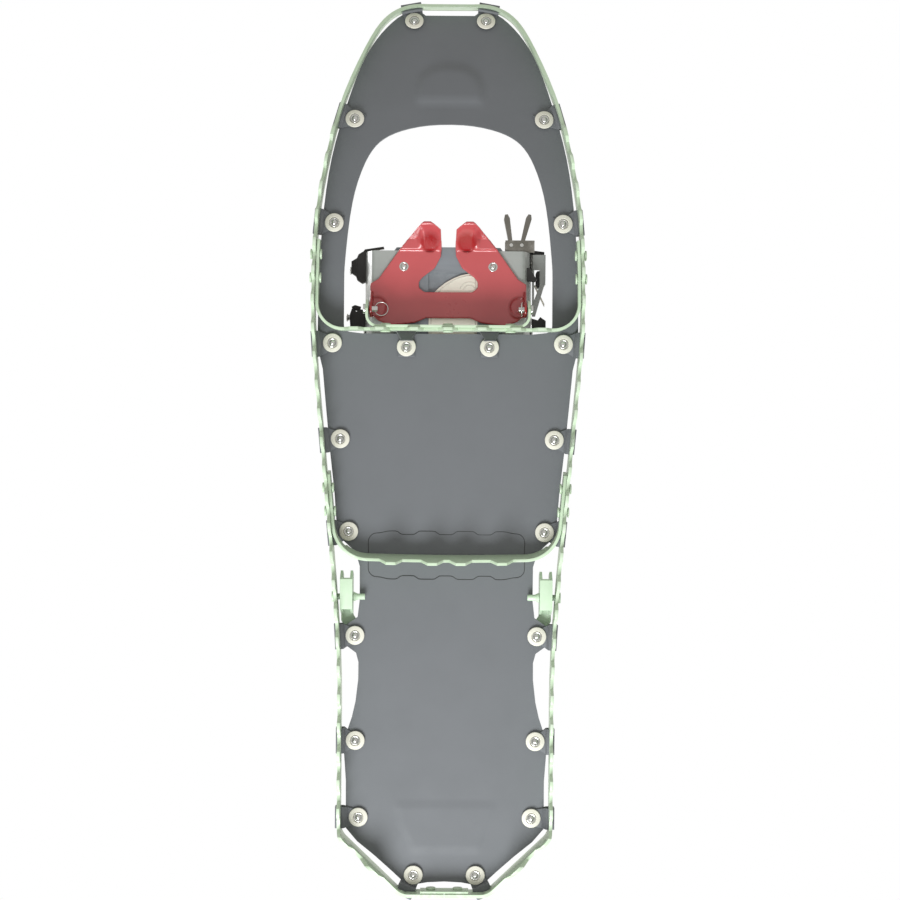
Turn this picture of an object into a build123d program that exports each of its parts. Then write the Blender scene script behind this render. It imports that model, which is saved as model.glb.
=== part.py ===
from build123d import *
import math
import os

# Left-foot trail snowshoe, in millimetres.
# +Y points to the tip, +X to the wearer's right, +Z up. The teeth stand on z = 0.

# Overall frame
half_len = 320.0            # half of the overall length
half_wide = 96.3            # half of the rail's greatest width
tail_half = 75.8            # half width of the straight rear stretch
tail_flat = 31.0            # half width of the flat tail
rail_h = 28.0               # height of the rail's top edge
rail_t = 2.2                # rail strip thickness
tooth_h = 8.0               # depth of the rail teeth
tooth_pitch = 20.0
rear_straight_y = -185.0    # the sides are straight behind this Y
tail_corner = 42.5          # length of the slanted tail corners
tip_rise = 50.0             # how far the tip is raised
rise_from = 100.0           # the rail is level behind this Y
tip_trim = 6.0              # how much lower the blade is at the tip
lap_gap = 0.6               # gap between the two rail ends
side_far = half_wide + 24   # past everything on either side

# Deck
deck_z = rail_h - 4.0       # underside of the deck
deck_t = 1.2
deck_front = half_len - 6.5
deck_tail = half_len - 6.8
lay_gap = 0.05              # gap between layers that lie on each other

# Deck straps, washers and rivets
strap_t = 1.2
strap_wide = 18.0           # at the rail
strap_narrow = 12.0         # at the washer
strap_gap = 0.5             # between strap and rail
slot_z = deck_z - 4.4       # height of the slot that a strap passes through
slot_room = 0.6             # slot clearance round the strap
washer_r = 6.75
washer_t = 1.0
rivet_r = 1.75
rivet_room = 0.15
rivet_head_r = 3.4
rivet_head_t = 0.8
rivet_top_r = 4.5
rivet_top_t = 1.2

# Crossmembers and toe bracket
cross_t = 2.0
cross_top = deck_z - 0.6
cross_gap = 0.5             # between a crossmember leg and the rail
front_cross_y = 79.0
front_cross_end = 143.0
front_cross_r = 19.5
rear_cross_y = -81.5
rear_cross_end = -20.0
rear_cross_r = 26.0
rear_cross_tilt = 11.0      # the rear blade leans to the tail going down
cross_valley = 9.0
bracket_t = 1.8
bracket_r = 8.5
bracket_low = 4.0
bracket_high = 17.4
leg_rivet_r = 2.0
leg_rivet_z = 12.5
slant_gap = 0.45            # between a flat rivet head and the slanted rail

# Binding axle
axle_y = 94.3
axle_z = 15.0
axle_r = 2.15
axle_room = 0.05            # radial running clearance of the axle
ear_in = 56.3               # inner face of a bracket ear
ear_r = 6.5
flange_out = 55.7           # outer face of a crampon flange
flange_r = 6.2
ring_r = 4.75
ring_wire = 0.5
ring_x = 51.7               # where the ring passes through the axle pin
ring_hole_r = 0.95

# Crampon and binding base
crampon_z = deck_z + 3.0
crampon_t = 2.0
fang_angle = 59.0
fang_bend_y = 138.0
base_z = crampon_z + crampon_t
base_t = 5.0
base_half = 34.0
base_cap_half = 46.0
base_front = 139.5
base_back = 20.0
wing_t = 2.5
pad_t = 2.0
pad_half = 40.0
base_top = base_z + base_t
arch_t = 2.4

# Heel lift
bail_pin_y = -109.3
bail_pin_z = deck_z - 4.0
bail_pin_r = 2.15
bail_swing_r = 19.3
bail_gap = 2.2              # between the bail and the rail
bail_wide = 8.8
bail_t = 1.8
bail_plate_z = deck_z + 6.6

# Heel strap
heel_strap_z = base_z + 17.0
heel_strap_h = 14.0
heel_strap_t = 2.4
heel_rivet_y = 78.0
heel_back = -122.0

os.makedirs("parts", exist_ok=True)


def save(node, shape):
    """Write one node to its own file."""
    export_step(shape, f"parts/{node}.step")


def solids_of(shapes):
    """Put several separate solids into one node."""
    return Compound(children=[solid for shape in shapes for solid in shape.solids()])


def rise(y):
    """Height that the upturned front adds at a given Y."""
    share = max(0.0, (y - rise_from) / (half_len - rise_from))
    return tip_rise * share ** 2


def rise_slope(y):
    share = max(0.0, (y - rise_from) / (half_len - rise_from))
    return 2 * tip_rise * share / (half_len - rise_from)


def rise_curve(level, end_y):
    """The upturned front's parabola as one curve, raised to a level."""
    mid = (rise_from + end_y) / 2
    return Bezier((rise_from, level), (mid, level), (end_y, level + rise(end_y)))


def plan_face(points):
    return make_face(Polyline(*points, close=True))


def plan_prism(face, low, high):
    return Pos(0, 0, low) * extrude(face, high - low)


def side_prism(face, x_low, x_high):
    """Extrude a (Y, Z) face along X."""
    return extrude(Plane.YZ.offset(x_low) * face, x_high - x_low)


def front_prism(face, y_low, y_high):
    """Extrude an (X, Z) face along Y."""
    return extrude(Plane.XZ.offset(-y_low) * face, -(y_high - y_low))


def box(x, y, z):
    """A box from three (low, high) pairs."""
    size = [high - low for low, high in (x, y, z)]
    middle = [(high + low) / 2 for low, high in (x, y, z)]
    return Pos(*middle) * Box(*size)


def rod(start, end, radius):
    start = Vector(*start)
    end = Vector(*end)
    length = (end - start).length
    place = Plane(origin=start, z_dir=end - start)
    return place * Pos(0, 0, length / 2) * Cylinder(radius, length)


def mirror_x(shape):
    return mirror(shape, about=Plane.YZ)


def symmetric_face(half_points):
    """A face from the points of its +X half, tip first."""
    other = [(-x, y) for x, y in reversed(half_points) if x > 0.001]
    return plan_face(list(half_points) + other)


def ribbon(points, thickness, radius):
    """A bent strip's section: a polyline with rounded corners, given a thickness."""
    path = FilletPolyline(*points, radius=radius)
    return make_face(offset(path, thickness / 2, side=Side.BOTH).edges())


# ---------------------------------------------------------------- frame

def rail_outline():
    """Outer plan outline of the rail."""
    tip = Line((0, half_len), (16, half_len))
    shares = ((0.494, 11.4), (0.629, 33.3), (0.802, 75.9), (0.907, 117.2), (0.972, 157.0), (0.994, 190.0))
    shoulder = Spline(
        tip @ 1, *[(share * half_wide, half_len - back) for share, back in shares], (half_wide, rise_from)
    )
    shares = ((0.805, 34.3), (0.444, -44.0), (0.117, -123.0))
    waist = [(tail_half + share * (half_wide - tail_half), y) for share, y in shares]
    side = Spline(
        (half_wide, rise_from), *waist, (tail_half, rear_straight_y), tangents=[(0, -1), (0, -1)]
    )
    rear = FilletPolyline(
        (tail_half, rear_straight_y), (tail_half, tail_corner - half_len), (tail_flat, -half_len),
        (0, -half_len), radius=14,
    )
    half = Wire(tip.edges() + shoulder.edges() + side.edges() + rear.edges())
    return make_face(Wire(list(half.edges()) + list(mirror_x(half).edges())))


outline = rail_outline()


def rail_half_at(y):
    """Outer half width of the rail at a given Y."""
    probe = Line((0, y), (2 * half_wide, y))
    edges = outline.face().outer_wire().edges()
    spots = [spot for edge in edges for spot in edge.intersect(probe.edge()) or []]
    return max(spot.X for spot in spots)


def beside_rail(gaps):
    """Points at given distances inwards of the rail's outer face."""
    return [(rail_half_at(y) - gap, y) for gap, y in gaps]


def inset(face, amount):
    """A face moved inwards, with its curves turned into plain splines."""
    return offset(face, -amount).face().to_splines()


def tooth_points(start, count, valley, lift):
    """Points of a row of teeth along Y, each a small trapezoid."""
    points = []
    for index in range(count):
        y = start + index * tooth_pitch
        steps = ((0, valley), (3.5, 0), (9.5, 0), (13, valley))
        points += [(y + dy, z + lift(y + dy)) for dy, z in steps]
    return points


def rail_side_face():
    """Side profile of the rail: toothed below, upturned at the tip."""
    reach = half_len + 4
    top = [Line((-reach, rail_h), (rise_from, rail_h)), rise_curve(rail_h, reach)]
    teeth = tooth_points(14 - half_len, int((2 * half_len - 100) / tooth_pitch), tooth_h, rise)
    low = [(-reach, tooth_h)] + teeth
    trims = ((half_len - 70, 1.0), (half_len - 35, tip_trim - 2), (reach, tip_trim))
    low += [(y, tooth_h + trim + rise(y)) for y, trim in trims]
    edges = [edge for part in top for edge in part.edges()]
    edges += Line((reach, rail_h + rise(reach)), low[-1]).edges()
    edges += Polyline(*reversed(low)).edges()
    edges += Line((-reach, tooth_h), (-reach, rail_h)).edges()
    return make_face(Wire(edges))


def frame_rail():
    tall = rail_h + 2 * tip_rise
    rail = plan_prism(outline, -1, tall) & side_prism(rail_side_face(), -side_far, side_far)
    rail -= plan_prism(inset(outline, rail_t), -2, tall + 1)
    for loop in strap_loops:
        rail -= strap_slot(loop)
    rail -= box((-lap_gap / 2, lap_gap / 2), (-half_len - 1, -half_len + 20), (-1, rail_h + 1))
    for x in tail_rivet_x:
        rail -= rod((x, -half_len - 1, tail_rivet_z), (x, -half_len + 20, tail_rivet_z), leg_rivet_r)
    for cut in leg_rivet_places() + bail_pin_cuts():
        rail -= cut
    return rail


# ---------------------------------------------------------------- deck straps

def strap_loop(x, y, group, reach=None, turn=None, room=strap_gap, bend=0.0, width=strap_wide):
    """A deck strap's place: washer centre, outward direction, distance to the rail's outer face.

    Where the rail curves, room and bend keep the strap clear outside and inside of it.
    """
    if turn is None:
        spot = outline.face().outer_wire().distance_to_with_closest_points(Vertex(x, y, 0))[1]
        away = Vector(spot.X - x, spot.Y - y, 0)
        reach = away.length
        way = away.normalized()
    else:
        way = Vector(math.cos(math.radians(turn)), math.sin(math.radians(turn)), 0)
    return dict(x=x, y=y, group=group, way=way, reach=reach, room=room, bend=bend, width=width)


def all_strap_loops():
    loops = []
    sides = [
        (12.7, half_len - 88.0, "front", dict()),
        (12.8, half_len - 164.0, "front", dict()),
        (13.3, 70.5, "mid", dict()),
        (13.3, 2.5, "mid", dict()),
        (13.6, -63.2, "mid", dict()),
        (12.7, -137.0, "rear", dict()),
        (11.9, -211.5, "rear", dict()),
        (14.4, 54.0 - half_len, "rear", dict(room=0.8, width=15.0)),
    ]
    places = [(26.2, half_len - 12.4, "front", dict(room=1.0, bend=0.7, width=15.0))]
    places += [(rail_half_at(y) - gap, y, group, extra) for gap, y, group, extra in sides]
    tail = dict(turn=-64.0, reach=14.4, room=0.9, bend=2.6, width=12.0)
    places.append((tail_flat - 9.0, 13.2 - half_len, "rear", tail))
    for x, y, group, extra in places:
        loops.append(strap_loop(x, y, group, **extra))
        mirrored = dict(extra)
        if "turn" in mirrored:
            mirrored["turn"] = 180 - mirrored["turn"]
        loops.append(strap_loop(-x, y, group, **mirrored))
    return loops


def loop_plane(loop):
    """Vertical section plane through a strap: local x runs outward, local y up."""
    side = Vector(0, 0, 1).cross(loop["way"])
    return Plane(origin=(loop["x"], loop["y"], 0), x_dir=loop["way"], z_dir=side * -1)


def loop_sweep(loop, face, width):
    """Sweep a section along the rail, following the slope of the upturned front."""
    side = Vector(0, 0, 1).cross(loop["way"])
    along = Vector(side.X, side.Y, rise_slope(loop["y"]) * side.Y)
    return extrude(loop_plane(loop) * face, amount=width / 2 * along.length, dir=along, both=True)


def lift_at(loop, out):
    return rise(loop["y"] + out * loop["way"].Y)


def strap_section(loop, top=rail_h, wall=rail_t):
    """Strap section: over the deck, over the rail, down and in through the slot, under the deck."""
    inner = -6.5
    reach = loop["reach"]
    half = strap_t / 2
    upper = deck_z + deck_t + layer_gap(loop) + half
    lower = deck_z - layer_gap(loop) - half
    over = max(top + 0.35 + half, upper)
    outside = reach + loop["room"] + half
    inside = reach - wall - 1.2 - loop["bend"]
    marks = [
        (inner, upper),
        (washer_r - 1.0, upper),
        (inside, over),
        (outside, over),
        (outside, slot_z),
        (inside, slot_z),
        (washer_r + 0.9, lower),
        (inner, lower),
    ]
    if over == upper:
        marks = [marks[0]] + marks[3:]
    points = [(out, z + lift_at(loop, out)) for out, z in marks]
    return ribbon(points, strap_t, 0.65)


def strap_taper(loop, width):
    """Plan limits of a strap: narrow at the washer, wide at the rail."""
    far = loop["reach"] + 8
    half_n = strap_narrow / 2
    half_w = width / 2
    mid = loop["reach"] - rail_t - 2
    points = [(-8, -half_n), (3, -half_n), (mid, -half_w), (far, -half_w)]
    points += [(far, half_w), (mid, half_w), (3, half_n), (-8, half_n)]
    place = Plane(origin=(loop["x"], loop["y"], 0), x_dir=loop["way"], z_dir=(0, 0, 1))
    return extrude(place * plan_face(points), rail_h + 2 * tip_rise)


def deck_strap(loop, **section):
    width = loop["width"]
    strap = loop_sweep(loop, strap_section(loop, **section), width + 4) & strap_taper(loop, width)
    return strap - rivet_hole(loop, deck_z - 6, deck_z + 6)


def strap_slot(loop, wall=rail_t):
    """The slot through the blade that a strap passes through."""
    high = strap_t / 2 + slot_room
    near = loop["reach"] - wall - 3 - loop["bend"]
    far = loop["reach"] + 4
    marks = [(near, slot_z - high), (far, slot_z - high), (far, slot_z + high), (near, slot_z + high)]
    face = plan_face([(out, z + lift_at(loop, out)) for out, z in marks])
    return loop_sweep(loop, face, loop["width"] + 2 * slot_room)


def deck_normal(loop):
    return Vector(0, -rise_slope(loop["y"]), 1).normalized()


def stack_plane(loop, level):
    """Plane square to the deck under a washer, at a level of the flat deck."""
    normal = deck_normal(loop)
    origin = Vector(loop["x"], loop["y"], deck_z + rise(loop["y"])) + normal * (level - deck_z)
    return Plane(origin=origin, x_dir=(1, 0, 0), z_dir=normal)


def disc(loop, radius, low, high):
    return stack_plane(loop, low) * Pos(0, 0, (high - low) / 2) * Cylinder(radius, high - low)


def rivet_hole(loop, low, high):
    return disc(loop, rivet_r + rivet_room, low, high)


def layer_gap(loop):
    """Gap between strap and deck, wider where the deck curves across the strap."""
    bend = tip_rise / (half_len - rise_from) ** 2 if loop["y"] > rise_from else 0.0
    return lay_gap + bend * (strap_wide / 2) ** 2


def stack_levels(loop):
    """Underside of the lower strap end and top of the upper one."""
    low = deck_z - layer_gap(loop) - strap_t - lay_gap
    high = deck_z + deck_t + layer_gap(loop) + strap_t + lay_gap
    return (low, high)


def deck_washer(loop):
    low, _ = stack_levels(loop)
    ring = disc(loop, washer_r, low - washer_t, low)
    return ring - rivet_hole(loop, low - 2 * washer_t, low + 1)


def deck_rivet(loop):
    low, high = stack_levels(loop)
    low -= washer_t + lay_gap
    shank = disc(loop, rivet_r, low, high + 0.5)
    foot = disc(loop, rivet_head_r, low - rivet_head_t, low)
    head = disc(loop, rivet_top_r, high, high + rivet_top_t)
    return shank + foot + head


strap_loops = all_strap_loops()
cross_loops = [
    dict(
        x=x, y=front_cross_y - 11.0, group="cross", way=Vector(0, 1, 0), reach=cross_t + 11.0,
        room=strap_gap, bend=0.0, width=strap_wide,
    )
    for x in (29.5, -29.5)
]


# ---------------------------------------------------------------- crossmembers

def cross_region(gap, floor_y, end_y, radius, bow):
    """Plan area inside the rail and in front of a crossmember's base, with rounded corners."""
    far = end_y + 60
    wide = 140
    sides = Polyline((-wide, floor_y + bow), (-wide, far), (wide, far), (wide, floor_y + bow))
    if bow:
        base = ThreePointArc((wide, floor_y + bow), (0, floor_y), (-wide, floor_y + bow))
    else:
        base = Line((wide, floor_y), (-wide, floor_y))
    region = inset(outline, gap) & make_face(Wire(sides.edges() + base.edges()))
    return fillet(region.vertices().sort_by(Axis.Y)[:2], radius)


def cross_band(floor_y, end_y, radius, bow):
    """Plan band of a crossmember: legs along the rails, rounded corners, base across."""
    gap = rail_t + cross_gap
    outer = cross_region(gap, floor_y, end_y, radius, bow)
    inner = cross_region(gap + cross_t, floor_y + cross_t, end_y, radius - cross_t, bow)
    return (outer - inner) & plan_face([(-140, floor_y - 5), (140, floor_y - 5), (140, end_y), (-140, end_y)])


def cross_teeth(half, places, width):
    """Front view of a crossmember's lower edge: straight legs and a few base teeth."""
    points = [(-130, 60), (130, 60), (130, cross_valley), (half, cross_valley)]
    for x in sorted(places, reverse=True):
        points += [(x + width, cross_valley), (x + width / 2.4, 0)]
        points += [(x - width / 2.4, 0), (x - width, cross_valley)]
    points += [(-half, cross_valley), (-130, cross_valley)]
    return plan_face(points)


def front_crossmember():
    band = cross_band(front_cross_y, front_cross_end, front_cross_r, 0)
    member = plan_prism(band, -1, cross_top)
    member &= front_prism(cross_teeth(70, (-66, -48, -24, 0, 24, 48, 66), 7), 0, 200)
    for loop in cross_loops:
        member -= strap_slot(loop, wall=cross_t)
    for x in bracket_rivet_x:
        member -= rod((x, 60, bracket_rivet_z), (x, 100, bracket_rivet_z), leg_rivet_r)
    for cut in leg_rivet_places():
        member -= cut
    return member


def rear_crossmember():
    band = cross_band(rear_cross_y, rear_cross_end, rear_cross_r, 5.0)
    lean = math.radians(rear_cross_tilt)
    way = Vector(0, -math.sin(lean), -math.cos(lean))
    member = extrude(Pos(0, 0, cross_top) * band, amount=(cross_top + 1) / math.cos(lean), dir=way)
    member &= front_prism(cross_teeth(60, (-39, -10, 10, 39), 8), -150, 40)
    for loop in strap_loops:
        if loop["group"] == "mid" and loop["y"] < -50:
            member -= strap_notch(loop)
    for cut in leg_rivet_places():
        member -= cut
    return member


def strap_notch(loop):
    """Room in a crossmember's top edge for the strap that crosses it."""
    low = slot_z - strap_t / 2 - slot_room
    marks = [(-9, low), (loop["reach"] + 3, low), (loop["reach"] + 3, 40), (-9, 40)]
    return loop_sweep(loop, plan_face(marks), strap_wide + 2 * slot_room)


def leg_rivets():
    """Rivet places: through a crossmember leg and the rail beside it."""
    return [front_cross_end - 10.5, front_cross_end - 27.0, rear_cross_end - 12.0, rear_cross_end - 28.5]


def leg_rivet_places():
    cuts = []
    for y in leg_rivets():
        wide = rail_half_at(y)
        for side in (-1, 1):
            start = (side * (wide - 14), y, leg_rivet_z)
            cuts.append(rod(start, (side * (wide + 6), y, leg_rivet_z), leg_rivet_r))
    return cuts


def crossmember_rivets():
    pieces = []
    head = 1.3
    for y in leg_rivets():
        wide = rail_half_at(y)
        inner = wide - rail_t - cross_gap - cross_t - slant_gap
        for side in (-1, 1):
            outer_face = wide + slant_gap
            shank = rod((side * inner, y, leg_rivet_z), (side * outer_face, y, leg_rivet_z), leg_rivet_r)
            cap = rod((side * outer_face, y, leg_rivet_z), (side * (outer_face + head), y, leg_rivet_z), 3.6)
            foot = rod((side * inner, y, leg_rivet_z), (side * (inner - head), y, leg_rivet_z), 3.6)
            pieces.append(shank + cap + foot)
    return solids_of(pieces)


# ---------------------------------------------------------------- toe bracket and axle

bracket_rivet_x = (-44.0, 0.0, 44.0)
bracket_rivet_z = 10.5


def toe_bracket():
    """U strip on the crossmember's front face, with an ear each side for the axle pins."""
    low_y = front_cross_y + cross_t
    outer = ear_in + bracket_t
    box_face = plan_face([(-outer, low_y), (outer, low_y), (outer, low_y + 60), (-outer, low_y + 60)])
    corners = box_face.vertices().sort_by(Axis.Y)[:2]
    region = fillet(corners, bracket_r)
    band = region - offset(region, -bracket_t)
    band &= plan_face([(-90, low_y - 1), (90, low_y - 1), (90, axle_y + ear_r), (-90, axle_y + ear_r)])
    strip = plan_prism(band, bracket_low, axle_z + ear_r)
    profile = plan_face([
        (low_y - 1, bracket_low), (axle_y, bracket_low), (axle_y, axle_z + ear_r),
        (low_y + bracket_r, axle_z + 1), (low_y + 3, bracket_high), (low_y - 1, bracket_high),
    ])
    ear_back = plan_face([
        (axle_y - 5, axle_z - ear_r), (axle_y, axle_z - ear_r), (axle_y, axle_z), (axle_y - 5, axle_z)
    ])
    ear = Pos(axle_y, axle_z) * Circle(ear_r)
    bracket = strip & side_prism(profile + ear_back + ear, -90, 90)
    bracket -= rod((-90, axle_y, axle_z), (90, axle_y, axle_z), axle_r + axle_room)
    for x in bracket_rivet_x:
        bracket -= rod((x, 60, bracket_rivet_z), (x, 100, bracket_rivet_z), leg_rivet_r)
    return bracket


def toe_bracket_rivets():
    pieces = []
    back = front_cross_y - lay_gap
    front = front_cross_y + cross_t + bracket_t + lay_gap
    for x in bracket_rivet_x:
        shank = rod((x, back, bracket_rivet_z), (x, front, bracket_rivet_z), leg_rivet_r)
        foot = rod((x, back - 1.2, bracket_rivet_z), (x, back, bracket_rivet_z), 3.6)
        cap = rod((x, front, bracket_rivet_z), (x, front + 1.2, bracket_rivet_z), 3.6)
        pieces.append(shank + foot + cap)
    return solids_of(pieces)


def clevis_pin(side):
    """Headed axle pin with a cross hole for its ring; side is +1 or -1."""
    head_in = ear_in + bracket_t + 0.15
    tip_x = ring_x - 1.9
    pin = rod((side * tip_x, axle_y, axle_z), (side * head_in, axle_y, axle_z), axle_r)
    pin += rod((side * head_in, axle_y, axle_z), (side * (head_in + 1.8), axle_y, axle_z), 3.5)
    hole = rod((side * ring_x, axle_y - 5, axle_z), (side * ring_x, axle_y + 5, axle_z), ring_hole_r)
    return pin - hole


def split_ring(side, turn):
    """Split ring through the pin's cross hole, swung by a turn about the hole."""
    ring = Torus(ring_r, ring_wire)
    centre = ring_r - 0.25
    swung = Rot(0, turn, 0) * Pos(-side * centre, 0, 0) * ring
    return Pos(side * ring_x, axle_y, axle_z) * swung


# ---------------------------------------------------------------- deck

def deck_outline():
    front = [
        (0, deck_front - 0.5), (18, deck_front - 0.5), (20.5, deck_front + 1.6), (33, deck_front + 1.2),
    ]
    curve = beside_rail([
        (6.7, half_len - 9.0), (3.2, half_len - 29.6), (3.4, half_len - 72.8), (3.1, half_len - 114.7),
        (4.2, half_len - 155.5), (4.1, 112.0), (3.1, 78.0),
    ])
    side = beside_rail([
        (3.1, 64.0), (5.1, 52.0), (5.1, 25.0), (5.2, -5.0), (5.8, -35.0), (5.3, -66.0), (10.4, -71.0),
        (17.3, -78.0), (19.4, -88.0), (17.6, -112.0), (15.3, -124.0), (4.2, -131.5), (3.6, -142.5),
        (12.8, -149.5), (14.3, -156.0), (13.9, -168.0), (11.9, -184.0), (9.4, -195.0), (6.4, -204.0),
        (3.6, -206.0), (3.8, -218.0), (5.4, -240.0), (5.4, 46.0 - half_len), (7.5, 36.6 - half_len),
        (9.4, 26.7 - half_len), (10.3, 15.5 - half_len),
    ])
    tail = [
        (tail_flat - 3.3, -deck_tail), (20.0, -deck_tail - 0.4), (12.0, -deck_tail + 1.0),
        (0, -deck_tail + 1.6),
    ]
    half = Wire([
        *Polyline(*front, curve[0]).edges(), *Spline(*curve).edges(),
        *Polyline(curve[-1], *side, *tail).edges(),
    ])
    return make_face(Wire(list(half.edges()) + list(mirror_x(half).edges())))


def toe_opening():
    top = half_len - 91.0
    arch = beside_rail([
        (34.5, top - 13.8), (26.6, top - 34.0), (23.6, top - 64.5), (22.2, 128.0), (22.2, 92.0),
    ])
    foot_y = front_cross_y - 1.6
    corner_x = arch[-1][0]
    curve = Spline((0, top), (27.6, top - 3.0), *arch, tangents=[(1, 0), (0, -1)])
    foot = FilletPolyline(arch[-1], (corner_x, foot_y + 1.6), (corner_x - 14, foot_y), (0, foot_y), radius=5)
    half = Wire(curve.edges() + foot.edges())
    return make_face(Wire(list(half.edges()) + list(mirror_x(half).edges())))


def deck_side_face():
    """Side profile of the deck: flat, then upturned."""
    reach = half_len + 4
    low = [Line((-reach, deck_z), (rise_from, deck_z)), rise_curve(deck_z, reach)]
    high = [Line((-reach, deck_z + deck_t), (rise_from, deck_z + deck_t)), rise_curve(deck_z + deck_t, reach)]
    ends = [Line((-reach, deck_z), (-reach, deck_z + deck_t))]
    ends += [Line((reach, deck_z + rise(reach)), (reach, deck_z + deck_t + rise(reach)))]
    return make_face(Wire([edge for part in low + high + ends for edge in part.edges()]))


def deck():
    sheet = plan_prism(deck_outline() - toe_opening(), 0, rail_h + 2 * tip_rise)
    sheet &= side_prism(deck_side_face(), -side_far, side_far)
    for loop in strap_loops + cross_loops:
        sheet -= rivet_hole(loop, deck_z - 4, deck_z + 4)
    return sheet


pad_front_y = -59.0
pad_back_y = -97.0
pad_rubber_t = 2.5


def heel_pad():
    """Ribbed rubber pad under the heel, with a scalloped outline."""
    half = 54.0
    steps = 4
    span = 2 * half / steps
    points = []
    for index in range(steps):
        x = -half + index * span
        points += [(x + 3, pad_front_y), (x + span * 0.42, pad_front_y), (x + span * 0.5, pad_front_y - 2.5)]
        points += [(x + span * 0.62, pad_front_y - 2.5), (x + span * 0.7, pad_front_y)]
    rear = [(x, pad_front_y + pad_back_y - y) for x, y in reversed(points)]
    face = plan_face(points + [(half, pad_front_y - 4), (half, pad_back_y + 4)] + rear
                     + [(-half, pad_back_y + 4), (-half, pad_front_y - 4)])
    low = deck_z + deck_t
    return plan_prism(face, low, low + pad_rubber_t)


# ---------------------------------------------------------------- tail joint

tail_rivet_x = (-9.5, 9.5)
tail_rivet_z = deck_z - 6.0


def tail_plate():
    inner = -half_len + rail_t
    plate = box((-17, 17), (inner, inner + 2.0), (tooth_h + 1, deck_z - 1.5))
    for x in tail_rivet_x:
        plate -= rod((x, inner - 5, tail_rivet_z), (x, inner + 9, tail_rivet_z), leg_rivet_r)
    return plate


def tail_rivets():
    pieces = []
    back = -half_len - lay_gap
    front = -half_len + rail_t + 2.0 + lay_gap
    for x in tail_rivet_x:
        shank = rod((x, back, tail_rivet_z), (x, front, tail_rivet_z), leg_rivet_r)
        cap = rod((x, back + lay_gap, tail_rivet_z), (x, back + 1.0, tail_rivet_z), leg_rivet_r)
        foot = rod((x, front, tail_rivet_z), (x, front + 1.3, tail_rivet_z), 3.4)
        pieces.append(shank + cap + foot)
    return solids_of(pieces)


# ---------------------------------------------------------------- heel lift

bail_out = rail_half_at(bail_pin_y) - rail_t - bail_gap


def bail_pin_cuts():
    wide = rail_half_at(bail_pin_y)
    return [
        rod(*[(side * (wide + step), bail_pin_y, bail_pin_z) for step in (-6, 6)], bail_pin_r)
        for side in (-1, 1)
    ]


def bail_pins():
    """Pins fixed in the rail, with a cone boss inside the bail and a stub past it."""
    wide = rail_half_at(bail_pin_y)
    inner_wall = bail_out - bail_wide
    pieces = []
    stub_x = inner_wall - 8.5
    head_x = wide + slant_gap
    for side in (-1, 1):
        stub, middle, neck, end = [
            (side * x, bail_pin_y, bail_pin_z) for x in (stub_x, wide, head_x, head_x + 1.4)
        ]
        pin = rod(stub, middle, bail_pin_r) + rod(middle, neck, bail_pin_r) + rod(neck, end, 3.8)
        tip = Plane(origin=(side * (inner_wall - 0.3), bail_pin_y, bail_pin_z), z_dir=(-side, 0, 0))
        pin += tip * Pos(0, 0, 1.5) * Cone(3.6, bail_pin_r, 3.0)
        pieces.append(pin)
    return solids_of(pieces)


def bail_plate():
    outer = ((0.0, -2.7), (0.0, -17.7), (12.0, -38.7), (14.8, -55.7), (22.8, -64.2), (bail_out, -64.2))
    inner = (
        (bail_out, -51.2), (29.8, -51.2), (24.8, -45.7), (20.8, -31.7), (bail_wide, -13.7), (bail_wide, -2.7)
    )
    half_face = plan_face([(bail_out - x, bail_pin_y + y) for x, y in outer + inner])
    half_face = fillet(half_face.vertices().filter_by(lambda v: v.X > 1), 2.0)
    return plan_prism(half_face, bail_plate_z, bail_plate_z + bail_t)


def bail_channel():
    """Open channel that holds the pivot: two walls and a floor, rounded about the pin."""
    top = bail_plate_z + bail_t
    profile = plan_face([
        (bail_pin_y + 18.5, bail_pin_z), (bail_pin_y + 15.0, top), (bail_pin_y - 12.5, top),
        (bail_pin_y - 12.5, bail_plate_z - 3), (bail_pin_y - 8, bail_pin_z - 11),
        (bail_pin_y + 13, bail_pin_z - 11),
    ])
    block = side_prism(profile, bail_out - bail_wide, bail_out)
    hollow = box(
        (bail_out - bail_wide + bail_t, bail_out - bail_t),
        (bail_pin_y - 40, bail_pin_y + 40),
        (bail_pin_z - 11 + bail_t, top + 5),
    )
    ends = [(bail_out + step, bail_pin_y, bail_pin_z) for step in (-20, 5)]
    round_part = rod(*ends, bail_swing_r)
    keep = round_part + box((0, 100), (bail_pin_y - 60, bail_pin_y), (0, 60))
    return (block & keep) - hollow


def heel_bail():
    side = bail_plate() + bail_channel()
    side -= rod((50, bail_pin_y, bail_pin_z), (90, bail_pin_y, bail_pin_z), bail_pin_r + axle_room)
    return side + mirror_x(side)


# ---------------------------------------------------------------- crampon

def crampon_outline():
    half = [
        (5.4, 150.0), (15.2, 157.0), (29.4, 144.6), (35.2, 137.3), (49.8, 116.7), (flange_out, 113.1),
        (flange_out, 91.8), (49.8, 86.8), (41.3, 83.0), (23.5, 85.4), (16.0, 88.7), (0, 88.7),
    ]
    window = [(0, 107.4), (17.0, 107.4), (20.8, 110.4), (21.0, 114.4), (18.6, 117.6), (9.6, 124.5),
              (5.2, 133.0), (4.8, 140.0), (5.4, 150.0)]
    return plan_face(half + window)


def crampon_band():
    """Side section: flat plate, then the fangs bent down."""
    lean = math.radians(fang_angle)
    run = 36.0
    slip = crampon_t * math.tan(lean / 2)
    top = crampon_z + crampon_t
    end_top = (fang_bend_y + run * math.cos(lean), top - run * math.sin(lean))
    bend_low = (fang_bend_y - slip, crampon_z)
    end_low = (bend_low[0] + run * math.cos(lean), crampon_z - run * math.sin(lean))
    return plan_face([(75, top), (fang_bend_y, top), end_top, end_low, bend_low, (75, crampon_z)])


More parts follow.
